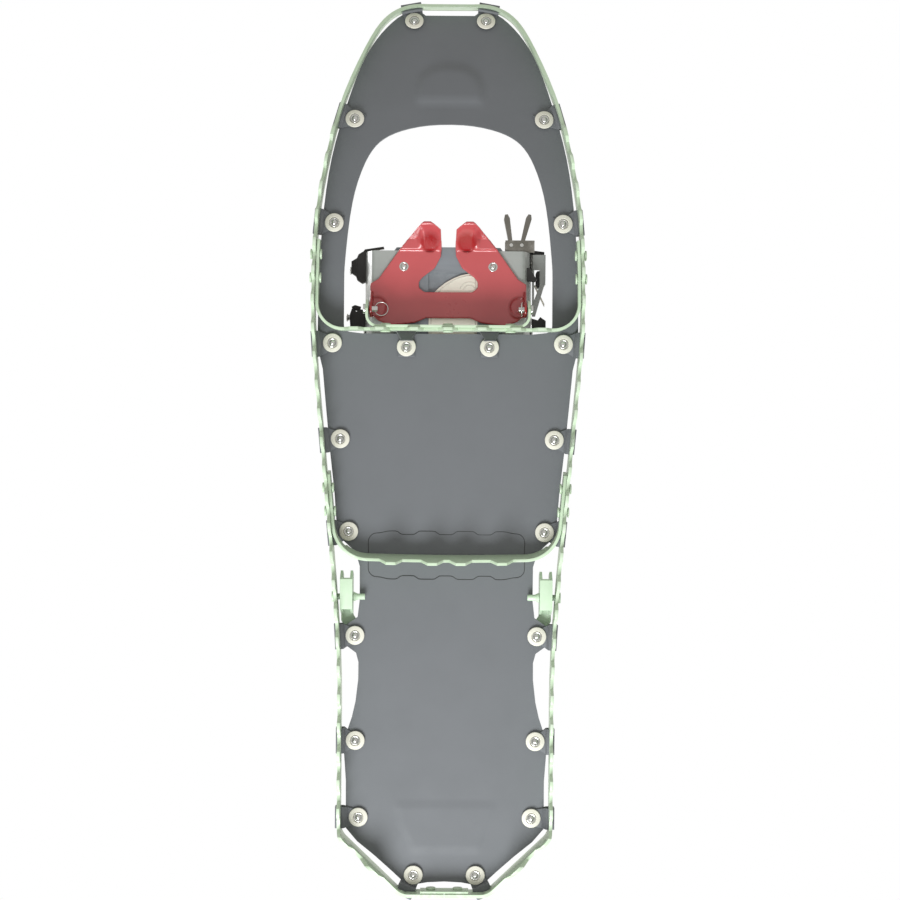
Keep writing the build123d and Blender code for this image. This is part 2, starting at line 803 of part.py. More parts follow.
def crampon_flange():
    lobe = Pos(axle_y, axle_z) * Circle(flange_r)
    web = plan_face([
        (axle_y - flange_r, axle_z), (axle_y + flange_r, axle_z), (axle_y + 14.5, crampon_z + 1),
        (axle_y - flange_r + 1, crampon_z + 1),
    ])
    plate = side_prism(lobe + web, flange_out - crampon_t, flange_out)
    return plate


def crampon():
    half = side_prism(crampon_band(), -70, 70) & plan_prism(crampon_outline(), 0.2, 60)
    half += crampon_flange()
    half -= rod((40, axle_y, axle_z), (70, axle_y, axle_z), axle_r + axle_room)
    half -= rod((crampon_rivet_x, crampon_rivet_y, 20), (crampon_rivet_x, crampon_rivet_y, 40), leg_rivet_r)
    return half + mirror_x(half)


crampon_rivet_x = 31.7
crampon_rivet_y = 125.5


def crampon_rivets():
    pieces = []
    for side in (-1, 1):
        x = side * crampon_rivet_x
        shank = rod((x, crampon_rivet_y, crampon_z), (x, crampon_rivet_y, base_top - 0.3), leg_rivet_r)
        cap = rod((x, crampon_rivet_y, crampon_z - 1.2), (x, crampon_rivet_y, crampon_z), 3.6)
        pieces.append(shank + cap)
    return solids_of(pieces)


# ---------------------------------------------------------------- binding base and harness

center_strap_t = 1.6
center_left = -21.0
center_right = 14.0


def binding_base():
    """Moulded base: a narrow lower part and a wider cap that clamps the wings."""
    low_half = [(base_half, base_front), (base_half, base_back + 8), (base_half - 8, base_back)]
    cap_half = [
        (base_cap_half - 9, base_front), (base_cap_half, base_front - 12), (base_cap_half, base_back + 14),
        (base_cap_half - 14, base_back),
    ]
    low = symmetric_face([(0, base_front)] + low_half + [(0, base_back)])
    cap = symmetric_face([(0, base_front)] + cap_half + [(0, base_back)])
    split = base_z + wing_t + 0.1
    body = plan_prism(low, base_z, split) + plan_prism(cap, split, base_top)
    recess = box(
        (center_left - 0.3, center_right + 0.3), (base_back - 1, 121.5),
        (base_z - 1, base_z + center_strap_t + 0.1),
    )
    body -= recess
    for side in (-1, 1):
        x = side * crampon_rivet_x
        body -= rod((x, crampon_rivet_y, 20), (x, crampon_rivet_y, base_top - 0.3), leg_rivet_r)
    return body


def center_strap():
    """Soft strap under the base that ties it to the crampon."""
    x = (center_left, center_right)
    strap = box(x, (base_back + 1, 121.0), (base_z + 0.05, base_z + center_strap_t))
    return fillet(strap.edges().filter_by(Axis.Z).group_by(Axis.Y)[-1], 9)


def boot_pad():
    pad = box((-pad_half, pad_half), (base_back + 8, base_front - 6), (base_top, base_top + pad_t))
    return fillet(pad.edges().filter_by(Axis.Z), 12)


wing_x = 58.6               # middle of a wing's upright wall
wing_in = wing_x - wing_t / 2
wing_out = wing_x + wing_t / 2
wing_back = 64.0
wing_front = 137.0


def wing(side):
    """Harness wing: a flange under the cap and a wall beside the foot, with two windows."""
    low = base_z + wing_t / 2 + 0.05
    top = base_z + 47
    notch = base_z + 37
    points = [(base_half + 0.5 + wing_t / 2, low), (wing_x - 5.6, low), (wing_x - 1.8, base_z + 11)]
    points += [(wing_x, base_z + 23), (wing_x, base_z + 50)]
    section = ribbon([(side * x, z) for x, z in points], wing_t, 3)
    body = front_prism(section, wing_back, wing_front)
    body &= side_prism(plan_face([
        (wing_back, base_z - 1), (wing_back, base_z + 25), (76, top), (102, top), (106, notch), (110, notch),
        (114, top), (134, top), (wing_front, notch), (wing_front, base_z - 1),
    ]), -100, 100)
    cuts = foot_rivet_cuts() + heel_rivet_cuts(0) + anchor_rivet_cuts() + lock_rivet_cuts()
    for cut in cuts:
        body -= cut
    return body


def arch_region(half, side_z, top):
    sides = Polyline((-half, side_z), (-half, 0), (half, 0), (half, side_z))
    hip = top - (top - side_z) * 0.32
    crown = Spline(
        (half, side_z), (half * 0.72, hip), (0, top), (-half * 0.72, hip), (-half, side_z),
        tangents=[(0, 1), (0, -1)],
    )
    return make_face(Wire(sides.edges() + crown.edges()))


def arch_band(half, side_z, top, low):
    """Front section of a strap that arches over the foot."""
    band = arch_region(half, side_z, top) - arch_region(half - arch_t, side_z, top - arch_t)
    return band & plan_face([(-140, low), (140, low), (140, 200), (-140, 200)])


strap_places = {
    "toe": dict(y=(115.0, 133.0), side_z=base_z + 44, top=base_z + 64),
    "instep": dict(y=(78.0, 100.0), side_z=base_z + 43, top=base_z + 83),
}
strap_low = base_z + 32
foot_rivet_z = base_z + 40


def foot_strap(name):
    """A strap over the foot, from wing to wing."""
    place = strap_places[name]
    band = arch_band(wing_in - 0.3, place["side_z"], place["top"], strap_low)
    strap = front_prism(band, *place["y"])
    for cut in foot_rivet_cuts():
        strap -= cut
    return strap


def foot_rivet_spots():
    return [(side, sum(place["y"]) / 2) for side in (-1, 1) for place in strap_places.values()]


def foot_rivet_cuts():
    return [
        rod((side * 50, y, foot_rivet_z), (side * 70, y, foot_rivet_z), leg_rivet_r)
        for side, y in foot_rivet_spots()
    ]


def headed_rivet(side, y, z, inner, outer, head_r=3.4):
    """A rivet along X with a low head at each end."""
    rivet = rod((side * inner, y, z), (side * outer, y, z), leg_rivet_r)
    rivet += rod((side * (inner - 1.0), y, z), (side * inner, y, z), head_r)
    return rivet + rod((side * outer, y, z), (side * (outer + 1.2), y, z), head_r)


def harness_rivets():
    """Rivets that hold the foot straps, the strap anchors and the lever fork to the wings."""
    inner = wing_in - 0.3 - arch_t - lay_gap
    outer = wing_out + lay_gap
    pieces = [headed_rivet(side, y, foot_rivet_z, inner, outer) for side, y in foot_rivet_spots()]
    for place in anchor_places.values():
        y = sum(place["y"]) / 2
        pieces.append(headed_rivet(1, y, anchor_rivet_z, wing_in - lay_gap, place["out"] + lay_gap, 2.8))
    fork_out = wing_out + plate_gap + lock_plate_t + lay_gap
    pieces.append(headed_rivet(-1, lock_rivet_y, anchor_rivet_z, wing_in - lay_gap, fork_out, 2.8))
    return solids_of(pieces)


anchor_places = {
    "front": dict(y=(115.0, 134.0), out=wing_out + 10.3),
    "rear": dict(y=(83.0, 98.0), out=wing_out + 12.65),
}
anchor_rivet_z = base_z + 27
plate_gap = 0.3             # between a wing and what is riveted beside it


def anchor_rivet_cuts():
    cuts = []
    for place in anchor_places.values():
        y = sum(place["y"]) / 2
        cuts.append(rod((50, y, anchor_rivet_z), (80, y, anchor_rivet_z), leg_rivet_r))
    return cuts


def strap_anchor(name):
    """Black anchor block on the inner wing, holding a strap end."""
    place = anchor_places[name]
    body = box((wing_out + plate_gap, place["out"]), place["y"], (anchor_rivet_z - 5, anchor_rivet_z + 5))
    body = chamfer(body.edges().filter_by(Axis.Z).group_by(Axis.X)[-1], 3.0)
    for cut in anchor_rivet_cuts():
        body -= cut
    return body


arm_y = (wing_front - 50, wing_front - 1)
arm_out = wing_out + 9.2      # clears the toe opening when the binding swings down
arm_window_y = (112.0, 125.0)


def outer_arm():
    """Splayed arm on the outer wing, with two windows."""
    root = wing_out + 1.65
    points = [(root, base_z + 21), (root, base_z + 14), (arm_out, base_z + 18), (arm_out, base_z + 37)]
    arm = front_prism(ribbon([(-x, z) for x, z in points], 2.0, 1.5), *arm_y)
    window = box((-arm_out - 2, -wing_out - 3), arm_window_y, (base_z + 11, base_z + 31))
    arm -= fillet(window.edges().filter_by(Axis.Z), 3)
    low = box((-arm_out - 2, -arm_out + 5), (93.0, 106.0), (base_z + 24, base_z + 33))
    return arm - fillet(low.edges().filter_by(Axis.X), 3)


def wing_pad():
    """Black grip pad that sits in the arm's window."""
    y = (arm_window_y[0] + 0.4, arm_window_y[1] - 0.4)
    pad = box((-arm_out + 1.4, -wing_out - 3.4), y, (base_z + 18, base_z + 31))
    return fillet(pad.edges().filter_by(Axis.Z), 1.8)


# ---------------------------------------------------------------- lock levers

lever_root = {"inner": (13.6 - wing_x, wing_front + 5.6), "outer": (6.0 - wing_x, wing_front + 5.6)}
lever_tip = {"inner": (17.2 - wing_x, wing_front + 28), "outer": (0.2 - wing_x, wing_front + 28)}
lever_pin_r = 1.5
lever_eye_r = 3.4
lock_low = base_z + 13
lock_high = base_z + 27
lever_low = lock_low + 3
lever_high = lock_high - 3
lock_plate_t = 1.6
lock_rivet_y = wing_front - 6.5


def lock_rivet_cuts():
    start = (-50, lock_rivet_y, anchor_rivet_z)
    return [rod(start, (-80, lock_rivet_y, anchor_rivet_z), leg_rivet_r)]


def lock_base():
    """Metal fork on the front of the outer wing that holds both levers."""
    y_low = wing_front + plate_gap
    y_high = wing_front + 9
    x = (-wing_out - plate_gap - lock_plate_t, 17.8 - wing_x)
    base = box(x, (y_low, y_low + lock_plate_t), (lock_low, lock_high))
    base += box(x, (y_low, y_high), (lock_low, lock_low + lock_plate_t))
    base += box(x, (y_low, y_high), (lock_high - lock_plate_t, lock_high))
    fork_z = (anchor_rivet_z - 4, anchor_rivet_z + 4)
    base += box((x[0], x[0] + lock_plate_t), (y_low - 12.3, y_low + 1), fork_z)
    for x_root, y_root in lever_root.values():
        base -= rod((x_root, y_root, lock_low - 1), (x_root, y_root, lock_high + 1), lever_pin_r)
    for cut in lock_rivet_cuts():
        base -= cut
    return base


def lock_lever(name):
    x_root, y_root = lever_root[name]
    x_tip, y_tip = lever_tip[name]
    way = Vector(x_tip - x_root, y_tip - y_root, 0)
    length = way.length
    place = Plane(origin=(x_root, y_root, lever_low), x_dir=way.normalized(), z_dir=(0, 0, 1))
    half = [(0, -1.3), (length - 3, -2.1), (length, -1.0)]
    blade = plan_face(half + [(x, -y) for x, y in reversed(half)])
    body = extrude(place * blade, lever_high - lever_low)
    eye_low = lock_low + lock_plate_t + 0.3
    eye_high = lock_high - lock_plate_t - 0.3
    body += rod((x_root, y_root, eye_low), (x_root, y_root, eye_high), lever_eye_r)
    hole = rod((x_root, y_root, lock_low), (x_root, y_root, lock_high), lever_pin_r + axle_room)
    return body - hole


def lock_pins():
    pieces = []
    for x_root, y_root in lever_root.values():
        pin = rod((x_root, y_root, lock_low), (x_root, y_root, lock_high + lay_gap), lever_pin_r)
        pin += rod((x_root, y_root, lock_high + lay_gap), (x_root, y_root, lock_high + 1.0), 2.4)
        pieces.append(pin)
    return solids_of(pieces)


# ---------------------------------------------------------------- heel strap

heel_strap_x = wing_in - 2.55
heel_rivet_z = heel_strap_z + heel_strap_h / 2


def heel_rivet_cuts(room):
    radius = leg_rivet_r + room
    return [
        rod((side * 45, heel_rivet_y, heel_rivet_z), (side * 75, heel_rivet_y, heel_rivet_z), radius)
        for side in (-1, 1)
    ]


def heel_strap():
    """Strap from wing to wing round the heel."""
    x = heel_strap_x
    path = FilletPolyline(
        (x, heel_rivet_y + 9), (x, 20), (42, -100), (20, heel_back), (-20, heel_back), (-42, -100), (-x, 20),
        (-x, heel_rivet_y + 9), radius=18,
    )
    band = make_face(offset(path, heel_strap_t / 2, side=Side.BOTH).edges())
    strap = plan_prism(band, heel_strap_z, heel_strap_z + heel_strap_h)
    for cut in heel_rivet_cuts(axle_room):
        strap -= cut
    return strap


def heel_strap_rivets():
    """Shouldered rivets fixed in the wings that the heel strap swings on."""
    inner = heel_strap_x - heel_strap_t / 2 - 0.2
    return solids_of([
        headed_rivet(side, heel_rivet_y, heel_rivet_z, inner, wing_out + lay_gap, 4.0) for side in (-1, 1)
    ])


slider_y = (36.0, 56.0)
slider_wall = 1.8
slider_room = 0.3
slider_pin = (-(heel_strap_x + 7.2), 52.4)


def heel_slider():
    """Ladder-lock frame round the heel strap, with lugs for its lever."""
    half = heel_strap_t / 2 + slider_room
    x = (-heel_strap_x - half - slider_wall, -heel_strap_x + half + slider_wall)
    z = (heel_strap_z - slider_room - slider_wall, heel_strap_z + heel_strap_h + slider_room + slider_wall)
    frame = box(x, slider_y, z)
    frame -= box(
        (-heel_strap_x - half, -heel_strap_x + half), (slider_y[0] - 1, slider_y[1] + 1),
        (z[0] + slider_wall, z[1] - slider_wall),
    )
    for low, high in ((z[0], z[0] + 2.0), (z[1] - 2.0, z[1])):
        frame += box((slider_pin[0] - 2.6, x[0] + 0.5), (slider_pin[1] - 2.8, slider_y[1]), (low, high))
    return frame - rod((*slider_pin, z[0] - 1), (*slider_pin, z[1] + 1), lever_pin_r)


def heel_lever():
    low = heel_strap_z - slider_room - slider_wall + 2.3
    high = heel_strap_z + heel_strap_h + slider_room + slider_wall - 2.3
    x, y = slider_pin
    lever = rod((x, y, low), (x, y, high), 2.5)
    lever += box((x - 1.2, x + 1.2), (y - 26.0, y), (low + 1.0, high - 1.0))
    return lever - rod((x, y, low - 1), (x, y, high + 1), lever_pin_r + axle_room)


def heel_lever_pin():
    x, y = slider_pin
    low = heel_strap_z - slider_room - slider_wall
    high = heel_strap_z + heel_strap_h + slider_room + slider_wall
    return rod((x, y, low), (x, y, high), lever_pin_r)


for step_name, step_shape in {
    "frame_rail": frame_rail(),
    "deck": deck(),
    "heel_pad": heel_pad(),
    "front_crossmember": front_crossmember(),
    "rear_crossmember": rear_crossmember(),
    "crossmember_rivets": crossmember_rivets(),
    "toe_bracket": toe_bracket(),
    "toe_bracket_rivets": toe_bracket_rivets(),
    "tail_plate": tail_plate(),
    "tail_rivets": tail_rivets(),
    "deck_straps_front": solids_of([deck_strap(l) for l in strap_loops if l["group"] == "front"]),
    "deck_straps_mid": solids_of([deck_strap(l) for l in strap_loops if l["group"] == "mid"]),
    "deck_straps_rear": solids_of([deck_strap(l) for l in strap_loops if l["group"] == "rear"]),
    "deck_straps_cross": solids_of([deck_strap(l, top=cross_top, wall=cross_t) for l in cross_loops]),
    "deck_washers": solids_of([deck_washer(l) for l in strap_loops + cross_loops]),
    "deck_rivets": solids_of([deck_rivet(l) for l in strap_loops + cross_loops]),
    "heel_bail": heel_bail(),
    "bail_pins": bail_pins(),
    "clevis_pin_right": clevis_pin(1),
    "clevis_pin_left": clevis_pin(-1),
    "split_ring_right": split_ring(1, 0),
    "split_ring_left": split_ring(-1, 90),
    "crampon": crampon(),
    "crampon_rivets": crampon_rivets(),
    "binding_base": binding_base(),
    "center_strap": center_strap(),
    "boot_pad": boot_pad(),
    "wing_right": wing(1),
    "wing_left": wing(-1),
    "outer_arm": outer_arm(),
    "wing_pad": wing_pad(),
    "anchor_front": strap_anchor("front"),
    "anchor_rear": strap_anchor("rear"),
    "toe_strap": foot_strap("toe"),
    "instep_strap": foot_strap("instep"),
    "harness_rivets": harness_rivets(),
    "lock_base": lock_base(),
    "lever_inner": lock_lever("inner"),
    "lever_outer": lock_lever("outer"),
    "lock_pins": lock_pins(),
    "heel_strap": heel_strap(),
    "heel_strap_rivets": heel_strap_rivets(),
    "heel_slider": heel_slider(),
    "heel_lever": heel_lever(),
    "heel_lever_pin": heel_lever_pin(),
}.items():
    save(step_name, step_shape)
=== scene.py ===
import math

import bmesh
import bpy
from mathutils import Matrix, Vector, geometry, kdtree, noise
from mathutils.bvhtree import BVHTree


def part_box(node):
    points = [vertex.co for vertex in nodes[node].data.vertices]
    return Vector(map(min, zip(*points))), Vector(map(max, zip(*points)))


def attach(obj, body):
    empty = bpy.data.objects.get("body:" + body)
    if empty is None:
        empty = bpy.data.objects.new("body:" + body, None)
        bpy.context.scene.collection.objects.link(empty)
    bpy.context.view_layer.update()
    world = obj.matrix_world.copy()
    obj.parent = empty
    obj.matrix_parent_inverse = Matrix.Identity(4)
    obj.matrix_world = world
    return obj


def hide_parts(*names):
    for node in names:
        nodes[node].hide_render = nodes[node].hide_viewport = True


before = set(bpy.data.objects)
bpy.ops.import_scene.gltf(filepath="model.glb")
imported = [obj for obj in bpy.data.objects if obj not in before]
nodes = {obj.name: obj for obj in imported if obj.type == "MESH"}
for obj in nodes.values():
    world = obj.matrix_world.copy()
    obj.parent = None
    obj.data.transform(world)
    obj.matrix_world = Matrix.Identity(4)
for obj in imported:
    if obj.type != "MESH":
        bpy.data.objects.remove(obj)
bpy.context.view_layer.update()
mm = 0.001
print("stage: frame loaded,", len(nodes), "nodes")


# camera and light

studio = {
    "cameraPlace": (-0.002, -0.005, -1.5),
    "cameraLens": 85.8,
    "cameraRoll": 0.40,
    "floorSize": 8.0,
    "floorColor": (0.82, 0.82, 0.81, 1.0),
    "skySeen": 1.0,
    "skyLight": 0.70,
}


def makeCamera():
    data = bpy.data.cameras.new("camera")
    data.lens = studio["cameraLens"]
    data.clip_start = 0.01
    camera = bpy.data.objects.new("camera", data)
    bpy.context.scene.collection.objects.link(camera)
    turn = Matrix.Rotation(math.pi, 4, "Y") @ Matrix.Rotation(math.radians(studio["cameraRoll"]), 4, "Z")
    camera.matrix_world = Matrix.Translation(studio["cameraPlace"]) @ turn
    bpy.context.scene.camera = camera


def makeLamp(name, place, aim, size, power, color=(1.0, 1.0, 1.0)):
    data = bpy.data.lights.new(name, "AREA")
    data.shape = "DISK"
    data.size = size
    data.energy = power
    data.color = color
    lamp = bpy.data.objects.new(name, data)
    bpy.context.scene.collection.objects.link(lamp)
    lamp.location = place
    lamp.rotation_mode = "QUATERNION"
    lamp.rotation_quaternion = (Vector(aim) - Vector(place)).to_track_quat("-Z", "Y")
    lamp.visible_camera = False


def makeSky():
    world = bpy.data.worlds.new("studioSky")
    bpy.context.scene.world = world
    world.use_nodes = True
    tree = world.node_tree
    tree.nodes.clear()
    path = tree.nodes.new("ShaderNodeLightPath")
    seen = tree.nodes.new("ShaderNodeBackground")
    light = tree.nodes.new("ShaderNodeBackground")
    mix = tree.nodes.new("ShaderNodeMixShader")
    out = tree.nodes.new("ShaderNodeOutputWorld")
    seen.inputs["Color"].default_value = (1, 1, 1, 1)
    seen.inputs["Strength"].default_value = studio["skySeen"]
    light.inputs["Color"].default_value = (1.0, 0.985, 0.95, 1)
    light.inputs["Strength"].default_value = studio["skyLight"]
    tree.links.new(path.outputs["Is Camera Ray"], mix.inputs["Fac"])
    tree.links.new(light.outputs["Background"], mix.inputs[1])
    tree.links.new(seen.outputs["Background"], mix.inputs[2])
    tree.links.new(mix.outputs["Shader"], out.inputs["Surface"])


def makeFloor():
    half = studio["floorSize"] / 2
    mesh = bpy.data.meshes.new("studioFloor")
    corners = [(-half, -half, 0), (half, -half, 0), (half, half, 0), (-half, half, 0)]
    mesh.from_pydata(corners, [], [(0, 1, 2, 3)])
    floor = bpy.data.objects.new("studioFloor", mesh)
    bpy.context.scene.collection.objects.link(floor)
    paper = bpy.data.materials.new("studioPaper")
    paper.use_nodes = True
    tree = paper.node_tree
    shader = tree.nodes["Principled BSDF"]
    out = tree.nodes["Material Output"]
    shader.inputs["Base Color"].default_value = studio["floorColor"]
    shader.inputs["Roughness"].default_value = 0.9
    # there only for a camera above it, so the sole is seen and lit through it
    under = tree.nodes.new("ShaderNodeNewGeometry")
    path = tree.nodes.new("ShaderNodeLightPath")
    shown = tree.nodes.new("ShaderNodeMath")
    clear = tree.nodes.new("ShaderNodeBsdfTransparent")
    mix = tree.nodes.new("ShaderNodeMixShader")
    shown.operation = "SUBTRACT"
    shown.use_clamp = True
    tree.links.new(path.outputs["Is Camera Ray"], shown.inputs[0])
    tree.links.new(under.outputs["Backfacing"], shown.inputs[1])
    tree.links.new(shown.outputs["Value"], mix.inputs["Fac"])
    tree.links.new(clear.outputs["BSDF"], mix.inputs[1])
    tree.links.new(shader.outputs["BSDF"], mix.inputs[2])
    tree.links.new(mix.outputs["Shader"], out.inputs["Surface"])
    floor.data.materials.append(paper)


bpy.context.scene.view_settings.view_transform = "Standard"
makeCamera()
makeSky()
makeFloor()
makeLamp("underTail", (0.25, -1.15, -1.0), (0, -0.14, 0.02), 0.8, 30.0, (0.95, 0.98, 1.0))
makeLamp("overLeft", (-1.1, -0.8, 1.5), (0, 0, 0.03), 1.0, 16.0)
makeLamp("overRight", (1.2, 0.7, 1.3), (0, 0, 0.03), 0.8, 9.0)
print("stage: studio ready")


# finishes

def newGroup(name, inputs, outputs):
    tree = bpy.data.node_groups.new(name, "ShaderNodeTree")
    for label, kind, value in inputs:
        socket = tree.interface.new_socket(name=label, in_out="INPUT", socket_type=kind)
        if value is not None:
            socket.default_value = value
    for label, kind in outputs:
        tree.interface.new_socket(name=label, in_out="OUTPUT", socket_type=kind)
    return tree, tree.nodes.new("NodeGroupInput"), tree.nodes.new("NodeGroupOutput")


def noiseNode(tree, scale, detail=3.0, rough=0.55):
    node = tree.nodes.new("ShaderNodeTexNoise")
    node.inputs["Scale"].default_value = scale
    node.inputs["Detail"].default_value = detail
    node.inputs["Roughness"].default_value = rough
    return node


def mathNode(tree, operation, first, second):
    node = tree.nodes.new("ShaderNodeMath")
    node.operation = operation
    for index, value in enumerate((first, second)):
        if isinstance(value, (int, float)):
            node.inputs[index].default_value = value
        else:
            tree.links.new(value, node.inputs[index])
    return node.outputs["Value"]


def rampNode(tree, value, low, high):
    node = tree.nodes.new("ShaderNodeMapRange")
    node.inputs["From Min"].default_value = low
    node.inputs["From Max"].default_value = high
    tree.links.new(value, node.inputs["Value"])
    return node.outputs["Result"]


def makeGrainGroup():
    tree, start, end = newGroup(
        "fineGrain",
        [
            ("Vector", "NodeSocketVector", None), ("Scale", "NodeSocketFloat", 900.0),
            ("Cells", "NodeSocketFloat", 0.5),
        ],
        [("Height", "NodeSocketFloat"), ("Mottle", "NodeSocketFloat")],
    )
    fine = noiseNode(tree, 900.0, 2.0)
    broad = noiseNode(tree, 28.0, 4.0)
    cells = tree.nodes.new("ShaderNodeTexVoronoi")
    for node in (fine, broad, cells):
        tree.links.new(start.outputs["Vector"], node.inputs["Vector"])
    for node in (fine, cells):
        tree.links.new(start.outputs["Scale"], node.inputs["Scale"])
    pebble = mathNode(tree, "MULTIPLY", cells.outputs["Distance"], start.outputs["Cells"])
    height = mathNode(tree, "ADD", fine.outputs["Fac"], pebble)
    tree.links.new(height, end.inputs["Height"])
    tree.links.new(rampNode(tree, broad.outputs["Fac"], 0.3, 0.7), end.inputs["Mottle"])
    return tree


def makeWeaveGroup():
    tree, start, end = newGroup(
        "coatedWeave",
        [("Vector", "NodeSocketVector", None), ("Threads", "NodeSocketFloat", 900.0)],
        [("Height", "NodeSocketFloat")],
    )
    parts = tree.nodes.new("ShaderNodeSeparateXYZ")
    tree.links.new(start.outputs["Vector"], parts.inputs["Vector"])
    waves = []
    for axis in ("X", "Y"):
        angle = mathNode(tree, "MULTIPLY", parts.outputs[axis], start.outputs["Threads"])
        waves.append(mathNode(tree, "SINE", mathNode(tree, "MULTIPLY", angle, 2 * math.pi), 0.0))
    cross = mathNode(tree, "MULTIPLY", waves[0], waves[1])
    height = mathNode(tree, "MULTIPLY_ADD", cross, 0.5)
    tree.links.new(height, end.inputs["Height"])
    return tree


def makeScuffGroup():
    tree, start, end = newGroup(
        "scuffs",
        [
            ("Vector", "NodeSocketVector", None), ("Edge", "NodeSocketFloat", 0.5),
            ("Amount", "NodeSocketFloat", 0.4),
        ],
        [("Mask", "NodeSocketFloat")],
    )
    patch = noiseNode(tree, 160.0, 5.0, 0.65)
    tree.links.new(start.outputs["Vector"], patch.inputs["Vector"])
    edge = rampNode(tree, start.outputs["Edge"], 0.52, 0.62)
    worn = mathNode(tree, "MULTIPLY", edge, rampNode(tree, patch.outputs["Fac"], 0.45, 0.7))
    tree.links.new(mathNode(tree, "MULTIPLY", worn, start.outputs["Amount"]), end.inputs["Mask"])
    return tree


grainGroup = makeGrainGroup()
weaveGroup = makeWeaveGroup()
scuffGroup = makeScuffGroup()

finishes = {
    "deckCoat": dict(
        color=(0.122, 0.129, 0.139), shade=(0.116, 0.123, 0.132), worn=(0.20, 0.21, 0.22), rough=(0.50, 0.62),
        grain=1500.0, cells=0.3, bump=0.10, weave=1100.0, scuff=0.15, sheen=0.12,
    ),
    "strapCoat": dict(
        color=(0.150, 0.156, 0.150), shade=(0.115, 0.120, 0.115), worn=(0.26, 0.27, 0.26), rough=(0.50, 0.62),
        grain=1500.0, cells=0.4, bump=0.12, weave=1100.0, scuff=0.2, sheen=0.1,
    ),
    "railGreen": dict(
        color=(0.500, 0.620, 0.455), shade=(0.450, 0.570, 0.405), worn=(0.78, 0.79, 0.76), rough=(0.32, 0.42),
        grain=2600.0, cells=0.6, bump=0.10, scuff=0.55, coat=0.15,
    ),
    "bailGreen": dict(
        color=(0.520, 0.660, 0.490), shade=(0.480, 0.615, 0.445), worn=(0.78, 0.79, 0.76), rough=(0.36, 0.46),
        grain=2600.0, cells=0.6, bump=0.08, scuff=0.4, coat=0.1,
    ),
    # red paint whose base colour is lifted towards pink as painted sheen; its darkest tone is painted shade
    # for pockets, flanges and folds
    "crampRed": dict(
        color=(0.470, 0.072, 0.078), shade=(0.430, 0.058, 0.064), worn=(0.62, 0.14, 0.13), rough=(0.26, 0.34),
        grain=2200.0, cells=0.7, bump=0.08, scuff=0.25, coat=0.8, paintedShadeTone=(0.290, 0.006, 0.008),
    ),
    "creamWasher": dict(
        color=(0.700, 0.680, 0.600), shade=(0.600, 0.580, 0.500), worn=(0.80, 0.79, 0.74), rough=(0.40, 0.52),
        grain=2400.0, cells=0.4, bump=0.06, scuff=0.3,
    ),
    "rivetSteel": dict(
        color=(0.720, 0.720, 0.700), shade=(0.560, 0.560, 0.545), worn=(0.85, 0.85, 0.84), rough=(0.16, 0.24),
        grain=3200.0, cells=0.1, bump=0.01, scuff=0.2, metal=1.0,
    ),
    "darkMetal": dict(
        color=(0.260, 0.250, 0.225), shade=(0.170, 0.160, 0.140), worn=(0.72, 0.70, 0.66), rough=(0.24, 0.38),
        grain=2600.0, cells=0.3, bump=0.06, scuff=0.9, metal=1.0,
    ),
    "baseGrey": dict(
        color=(0.195, 0.213, 0.232), shade=(0.178, 0.195, 0.213), worn=(0.38, 0.40, 0.41), rough=(0.42, 0.54),
        grain=1800.0, cells=0.8, bump=0.10, scuff=0.3,
    ),
    "creamRubber": dict(
        color=(0.780, 0.745, 0.650), shade=(0.700, 0.665, 0.570), worn=(0.84, 0.82, 0.76), rough=(0.46, 0.58),
        grain=1700.0, cells=0.5, bump=0.08, scuff=0.3, sheen=0.1,
    ),
    "pearlPlastic": dict(
        color=(0.340, 0.355, 0.338), shade=(0.300, 0.315, 0.300), worn=(0.74, 0.75, 0.72), rough=(0.24, 0.34),
        grain=2800.0, cells=0.3, bump=0.05, scuff=0.3, coat=0.4,
    ),
    "blackPlastic": dict(
        color=(0.022, 0.020, 0.019), shade=(0.012, 0.011, 0.011), worn=(0.09, 0.09, 0.085),
        rough=(0.38, 0.52),
        grain=1500.0, cells=0.9, bump=0.16, scuff=0.5,
    ),
    "blackRubber": dict(
        color=(0.030, 0.029, 0.028), shade=(0.018, 0.018, 0.017), worn=(0.10, 0.10, 0.095),
        rough=(0.62, 0.78),
        grain=1200.0, cells=1.0, bump=0.22, scuff=0.4, sheen=0.15,
    ),
}


